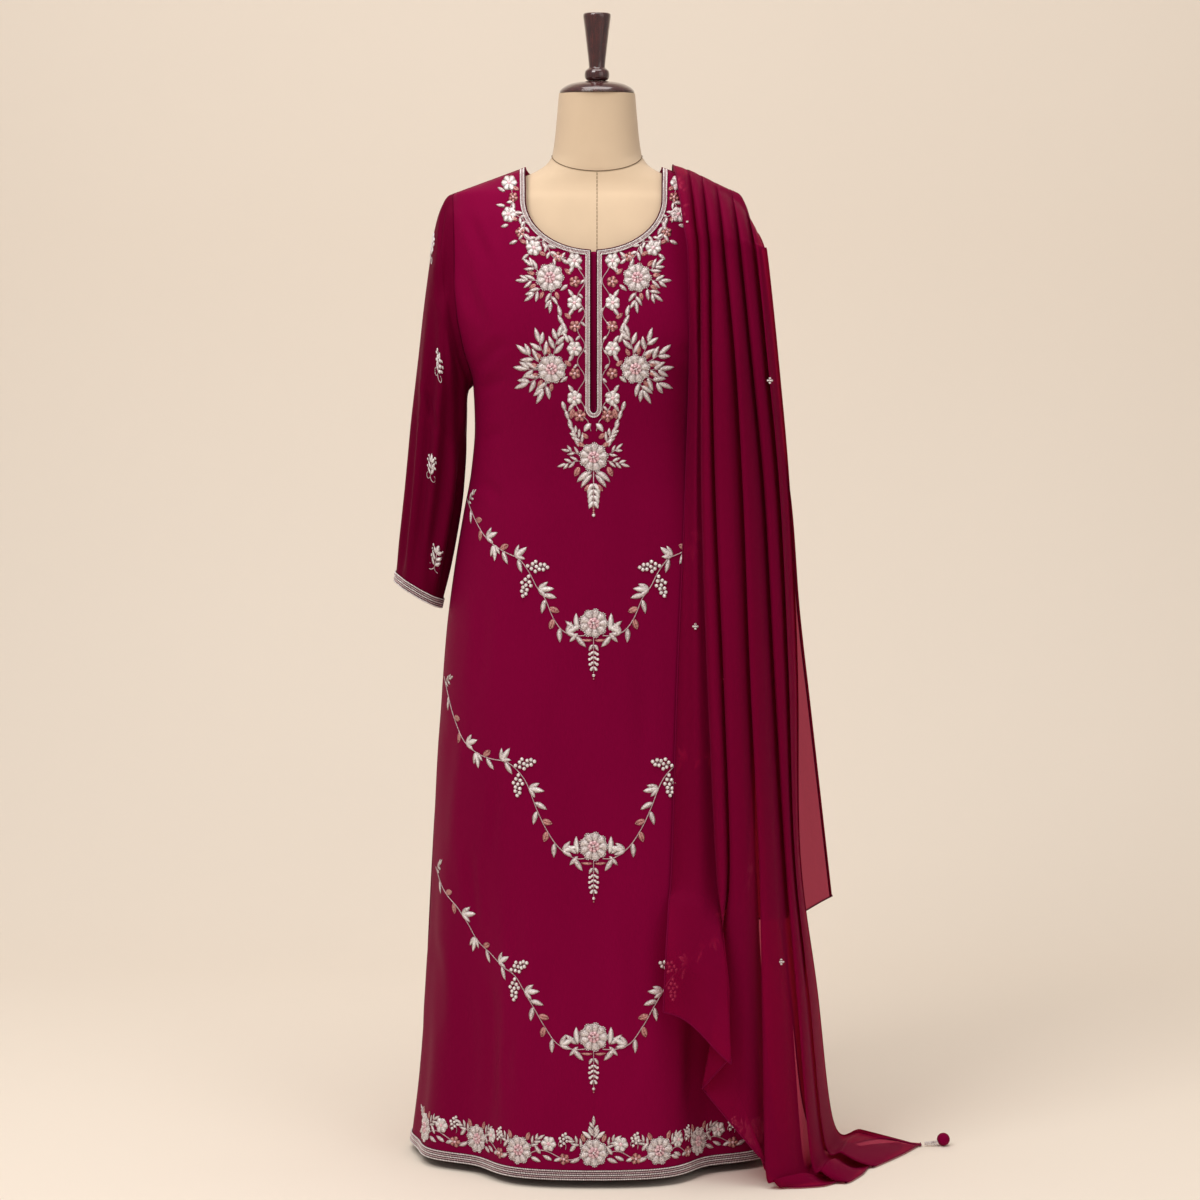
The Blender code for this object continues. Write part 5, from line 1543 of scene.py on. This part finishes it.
def lay_over(grid, pieces):
    """Press the two falls and the crossing clear of the cloth they hang over, each layer in its own place."""
    vertices, faces = [], []
    for piece in pieces:
        first = len(vertices)
        vertices.extend(piece.matrix_world @ vertex.co for vertex in piece.data.vertices)
        faces.extend([first + i for i in face.vertices] for face in piece.data.polygons)
    under = BVHTree.FromPolygons(vertices, faces)
    rows = grid.shape[0]
    for r in range(rows):
        s = r / (rows - 1)
        if s < 0.50:
            start, axis, sign = Vector((0, -1, 0)), 1, -1
        elif s > 0.63:
            start, axis, sign = Vector((0, 1, 0)), 1, 1
        else:
            start, axis, sign = Vector((0, 0, 2)), 2, 1
        for point in grid[r]:
            origin = Vector(point)
            origin[axis] = start[axis]
            direction = Vector((0, 0, 0))
            direction[axis] = -sign
            hit = under.ray_cast(origin, direction)[0]
            if hit is not None:
                clear = sign * (point[axis] - hit[axis]) - CLOTH_CLEAR
                if clear < 4 * CLOTH_SOFT:
                    rise = CLOTH_CLEAR + CLOTH_SOFT * math.log1p(math.exp(clear / CLOTH_SOFT))
                    point[axis] = hit[axis] + sign * rise


def wave_hem(grid):
    """The free corner of the front hem curls: up, then down, along its first pleat."""
    last = LAP_STEPS + RETURN_STEPS
    t = np.linspace(0.0, 1.0, last + 1)
    for r in range(40):
        fade = (1 - float(ease(r / 40)))
        grid[r, :last + 1, 2] += 0.0070 * fade * np.sin(2 * math.pi * t)
        grid[r, :last + 1, 1] += 0.0100 * fade * np.sin(2 * math.pi * t)


# small diamonds of beads on the dupatta: x and height as seen from the front
DUPATTA_BUTIS = ((0.2350, 1.0885), (0.1995, 0.982), (0.1330, 0.757), (0.1730, 0.690), (0.2325, 0.5465),
                 (0.1500, 0.430), (0.2500, 0.300))
PIN_PLACE = (0.1200, 1.301)


def front_of(grid, x, z):
    """The foremost point of the cloth at this x and height."""
    flat = grid.reshape(-1, 3)
    near = flat[np.hypot(flat[:, 0] - x, flat[:, 2] - z) < 0.004]
    if len(near) == 0:
        near = flat[[np.argmin(np.hypot(flat[:, 0] - x, flat[:, 2] - z))]]
    return near[np.argmin(near[:, 1])]


def dupatta_beads(grid):
    spots = []
    for x, z in DUPATTA_BUTIS:
        centre = front_of(grid, x, z) - (0, 0.0012, 0)
        for du, dv in ((0, 0), (0.0026, 0), (-0.0026, 0), (0, 0.0030), (0, -0.0030)):
            spots.append(centre + (du, 0, dv))
    spots.append(front_of(grid, *PIN_PLACE) - (0, 0.0012, 0))
    lines = [([spot, spot + (0.0008, 0, 0)], number % 2) for number, spot in enumerate(spots)]
    bead_rows("dupatta_butis", lines, 0.0014, 0.01, [PEARL, SILVER])


def dupatta(under):
    grid = dupatta_points()
    wave_hem(grid)
    s = np.linspace(0, 1, grid.shape[0])[:, None]
    c = np.linspace(0, 1, grid.shape[1])[None, :]
    ripple = 0.0011 * np.sin(c * 47 + 9 * s + 2.2 * np.sin(s * 13)) + 0.0009 * np.sin(c * 83 - 21 * s)
    grid[..., 1] += ripple * ease(s / 0.1) * ease((1 - s) / 0.05)
    lay_over(grid, under)
    grid[..., 2] = np.maximum(grid[..., 2], 0.0012 + 0.0010 * np.sin(c * 61)**2)
    obj = add_piece("dupatta_cloth", grid.reshape(-1, 3), grid_quads(*grid.shape[:2]), CHIFFON,
                    ["dupatta_front", "dupatta_tail", "dupatta_shoulder", "dupatta_back"])
    for name, line in (("selvedge_inner", grid[:, 0]), ("selvedge_outer", grid[:, -1]),
                       ("hem_front", grid[0]), ("hem_back", grid[-1])):
        line = line.copy()
        line[:, 2] = np.maximum(line[:, 2], 0.0020)
        cord_mesh("dupatta_" + name, line, 0.0011, ROLLED)
    dupatta_beads(grid)


# ---------------------------------------------------------------- form, tassel, stand
FORM = table(
    "z half front back",
    (0.735, 0.1560, 0.1080, 0.0980),
    (0.820, 0.1610, 0.1150, 0.1060),
    (0.900, 0.1520, 0.1120, 0.1000),
    (1.000, 0.1270, 0.0980, 0.0820),
    (1.080, 0.1380, 0.1140, 0.0880),
    (1.150, 0.1520, 0.1230, 0.0960),
    (1.220, 0.1630, 0.1130, 0.0960),
    (1.280, 0.1700, 0.0940, 0.0880),
    (1.315, 0.1760, 0.0780, 0.0760),
    (1.331, 0.1740, 0.0690, 0.0680),
    (1.342, 0.1480, 0.0610, 0.0600),
    (1.355, 0.1160, 0.0560, 0.0550),
    (1.368, 0.0840, 0.0540, 0.0540),
    (1.378, 0.0690, 0.0535, 0.0535),
    (1.390, 0.0615, 0.0530, 0.0530),
    (1.410, 0.0580, 0.0515, 0.0515),
    (1.440, 0.0550, 0.0500, 0.0500),
    (1.474, 0.0520, 0.0480, 0.0480))
FORM_STITCHES = 22
STITCH_SPACING, STITCH_LENGTH = 0.0052, 0.0036
FORM_HALF = sampled(FORM, "half")
FORM_DEPTH = {-1: sampled(FORM, "front"), 1: sampled(FORM, "back")}


def form_point(angle, z):
    """A point of the form's surface at this angle round it: 0 at +X, then the back."""
    c, s = np.cos(angle), np.sin(angle)
    power = 2 / SECTION_POWER
    depth = np.where(s > 0, FORM_DEPTH[1](z), FORM_DEPTH[-1](z))
    x = FORM_HALF(z) * np.sign(c) * np.abs(c)**power
    y = depth * np.sign(s) * np.abs(s)**power
    return np.stack([x, y, z + 0 * c], axis=-1)


def neck_seam_z(angle):
    """Height of the form's neck seam: lowest at the front."""
    return 1.379 + 0.011 * np.abs(np.cos(angle))**1.5 - 0.011 * np.maximum(-np.sin(angle), 0.0)


def form_seams():
    """The neck seam's fine line and the stitches down the middle of the front."""
    angle = np.linspace(0, 2 * math.pi, 160, endpoint=False)
    cord_mesh("form_neck_seam", form_point(angle, neck_seam_z(angle)), 0.00065, SEAM_THREAD,
              closed=True)
    top = float(neck_seam_z(1.5 * math.pi))
    for number in range(FORM_STITCHES):
        z = top - 0.002 - STITCH_SPACING * number
        stitch = form_point(1.5 * math.pi, np.array([z, z - STITCH_LENGTH]))
        cord_mesh(f"form_stitch_{number + 1:02d}", stitch, 0.00045, SEAM_THREAD)


def dress_form():
    columns, rows = 128, 260
    angles = np.linspace(0, 2 * math.pi, columns, endpoint=False)
    heights = np.linspace(FORM[0]["z"], FORM[-1]["z"], rows)
    angle, z = np.meshgrid(angles, heights)
    seam_z = neck_seam_z(angle)
    groove = 0.0007 * np.exp(-((z - seam_z) / 0.0016)**2)
    front_seam = 0.0006 * np.exp(-((angle - 1.5 * math.pi) / 0.013)**2) * (z < seam_z)
    points = form_point(angle, z)
    length = np.hypot(points[..., 0], points[..., 1])
    shrink = 1 - (groove + front_seam) / length
    points[..., 0] *= shrink
    points[..., 1] *= shrink
    obj = add_piece("form_cloth", points.reshape(-1, 3), capped_tube(rows, columns), COTTON,
                    ["form_body"])
    obj.data.set_sharp_from_angle(angle=math.radians(50))


def lathe(name, profile, node):
    """Turned wood on this node's foot: a smooth curve through (radius, height) points, from axis to axis."""
    steps = 96
    line = spline(profile, 140)[1:-1]
    line[:, 0] = np.maximum(line[:, 0], 0.0)
    angles = np.linspace(0, 2 * math.pi, steps, endpoint=False)
    foot_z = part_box(node)[0][2]
    points = np.stack([line[:, :1] * np.cos(angles), line[:, :1] * np.sin(angles),
                       foot_z + line[:, 1:2] + 0 * angles], axis=-1)
    add_piece(name, points.reshape(-1, 3), capped_tube(len(line), steps), MAHOGANY, [node])


def turned_wood():
    lathe("cap_wood", ((0.0, 0.0), (0.030, 0.0), (0.0490, 0.0), (0.0510, 0.0014), (0.0505, 0.0034),
                       (0.0470, 0.0070), (0.0400, 0.0112), (0.0300, 0.0143), (0.0180, 0.0158), (0.0, 0.0160)),
          "neck_cap")
    lathe("finial_wood", ((0.0, 0.0), (0.0080, 0.0), (0.0125, 0.0004), (0.0160, 0.0035), (0.0169, 0.0085),
                          (0.0160, 0.0135), (0.0128, 0.0165), (0.0112, 0.0180), (0.0110, 0.0205),
                          (0.0118, 0.0290), (0.0140, 0.0480), (0.0165, 0.0690), (0.0186, 0.0850),
                          (0.0188, 0.0885), (0.0180, 0.0908), (0.0150, 0.0919), (0.0060, 0.0920),
                          (0.0, 0.0920)),
          "finial")


def tassel():
    """Bead tube and the cloth ball."""
    beads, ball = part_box("tassel_beads"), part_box("tassel_ball")
    start = Vector((beads[0][0], (beads[0][1] + beads[1][1]) / 2 - 0.0015, 0.0045))
    end = Vector((beads[1][0], (beads[0][1] + beads[1][1]) / 2 + 0.0015, 0.0045))
    rows = []
    for k in range(7):
        a = 2 * math.pi * k / 7
        offset = Vector((0.0, 0.0024 * math.cos(a), 0.0024 * math.sin(a)))
        rows.append(([start + offset * 0.8, end + offset * 1.25], k % 2))
    bead_rows("tassel_beadwork", rows, 0.0012, 0.0022, [PEARL, SILVER], ["tassel_beads"])
    centre = [(ball[0][k] + ball[1][k]) / 2 for k in range(3)]
    radius = (ball[1][2] - ball[0][2]) / 2
    bm = bmesh.new()
    bmesh.ops.create_uvsphere(bm, u_segments=64, v_segments=40, radius=radius)
    for vert in bm.verts:
        around = math.atan2(vert.co.y, vert.co.z)
        vert.co *= 1 - 0.020 * (0.5 + 0.5 * math.cos(around * 14))
    verts = [Vector((v.co.z, v.co.y, v.co.x)) + Vector(centre) for v in bm.verts]
    faces = [[v.index for v in f.verts][::-1] for f in bm.faces]
    bm.free()
    add_piece("tassel_ball_cloth", verts, faces, GEORGETTE, ["tassel_ball"])


def stand_materials():
    """The hidden stand keeps its CAD solids, with finished materials."""
    for node, mat in (("form_board", MAHOGANY), ("stand_pole", SATIN), ("stand_base", SATIN)):
        obj = bpy.data.objects[node]
        obj.data.materials.clear()
        obj.data.materials.append(mat)


# ---------------------------------------------------------------- studio
BACKDROP_COLOR = (0.895, 0.805, 0.705)
FLOOR_BACK_Y, SWEEP_RADIUS, BACKDROP_TOP_Z, BACKDROP_REACH = 1.2, 1.3, 5.5, 6.0
LIGHT_AIM = (0.0, 0.0, 1.0)
LIGHTS = table(
    "name location size power color",
    ("key_light", (-1.5, -2.0, 3.3), 1.5, 54.0, (1.0, 0.975, 0.95)),
    ("fill_light", (2.6, -3.0, 2.2), 2.6, 16.0, (1.0, 0.97, 0.94)),
    ("top_light", (0.0, -0.5, 3.9), 2.2, 57.0, (1.0, 0.97, 0.94)))
AIR_COLOR, AIR_STRENGTH = (1.0, 0.955, 0.905, 1.0), 0.395
CAMERA_LOCATION = (0.0041, -4.60, 1.25)
CAMERA_TILT = 5.85       # degrees below level
CAMERA_LENS = 100.0


def link(name, data):
    """A new object in the scene for this mesh, light or camera."""
    obj = bpy.data.objects.new(name, data)
    bpy.context.scene.collection.objects.link(obj)
    return obj


def backdrop():
    """A pale seamless floor that sweeps up into a wall."""
    color = BACKDROP_COLOR
    mat, tree, shader = new_material("backdrop_paper", color, 0.95, Specular_IOR_Level=0.1)
    tone = noise(tree, texture_space(tree, (0.6, 0.6, 0.6)), 1.0, 2.0)
    tree.links.new(ramp(tree, tone, ((0.3, scaled_color(color, 0.985)), (0.7, scaled_color(color, 1.01)))),
                   shader.inputs["Base Color"])
    profile = [(-BACKDROP_REACH, 0.0), (FLOOR_BACK_Y, 0.0)]
    for k in range(1, 17):
        angle = 0.5 * math.pi * k / 16
        profile.append((FLOOR_BACK_Y + SWEEP_RADIUS * math.sin(angle), SWEEP_RADIUS * (1 - math.cos(angle))))
    profile.append((FLOOR_BACK_Y + SWEEP_RADIUS, BACKDROP_TOP_Z))
    verts = [(x, y, z) for x in (-BACKDROP_REACH, BACKDROP_REACH) for y, z in profile]
    count = len(profile)
    faces = [(k, k + count, k + 1 + count, k + 1) for k in range(count - 1)]
    mesh = bpy.data.meshes.new("backdrop")
    mesh.from_pydata(verts, [], faces)
    mesh.materials.append(mat)
    mesh.shade_smooth()
    link("backdrop", mesh)


def lights():
    """Three soft lights that face the garment, and the air's own light."""
    for row in LIGHTS:
        light = bpy.data.lights.new(row["name"], "AREA")
        light.shape = "SQUARE"
        light.size = row["size"]
        light.energy = row["power"]
        light.color = row["color"]
        obj = link(row["name"], light)
        obj.location = row["location"]
        aim = Vector(LIGHT_AIM) - Vector(row["location"])
        obj.rotation_euler = aim.to_track_quat("-Z", "Y").to_euler()
    world = bpy.data.worlds.new("studio_air")
    world.use_nodes = True
    background = world.node_tree.nodes["Background"]
    background.inputs["Color"].default_value = AIR_COLOR
    background.inputs["Strength"].default_value = AIR_STRENGTH
    bpy.context.scene.world = world


def camera():
    """The camera, in front at chest height."""
    lens = bpy.data.cameras.new("camera")
    lens.lens = CAMERA_LENS
    lens.sensor_width = 36.0
    obj = link("camera", lens)
    obj.location = CAMERA_LOCATION
    obj.rotation_euler = (math.radians(90.0 - CAMERA_TILT), 0.0, 0.0)
    bpy.context.scene.camera = obj
    bpy.context.scene.view_settings.view_transform = "Standard"


# ---------------------------------------------------------------- build
backdrop()
lights()
camera()
front = kameez_panel("kameez_front_cloth", -1, "kameez_front")
back = kameez_panel("kameez_back_cloth", 1, "kameez_back")
placket = slit_placket()
right_sleeve = SleeveSurface(-1, 1.0)
left_sleeve = SleeveSurface(1, LEFT_SLEEVE_WIDTH)
right_cloth = right_sleeve.mesh("sleeve_right_cloth", "sleeve_right")
left_cloth = left_sleeve.mesh("sleeve_left_cloth", "sleeve_left")
kameez_embroidery()
sleeve_embroidery(right_sleeve, "sleeve_right_buti")
sleeve_embroidery(left_sleeve, "sleeve_left_buti")
neck_edging()
hem_edging(-1, "hem_beads_front", "hem_band_front")
hem_edging(1, "hem_beads_back", "hem_band_back")
cuff_edging(right_sleeve, "cuff_beads_right", "cuff_band_right")
cuff_edging(left_sleeve, "cuff_beads_left", "cuff_band_left")
dupatta([front, back, right_cloth, left_cloth])
dress_form()
form_seams()
turned_wood()
tassel()
stand_materials()
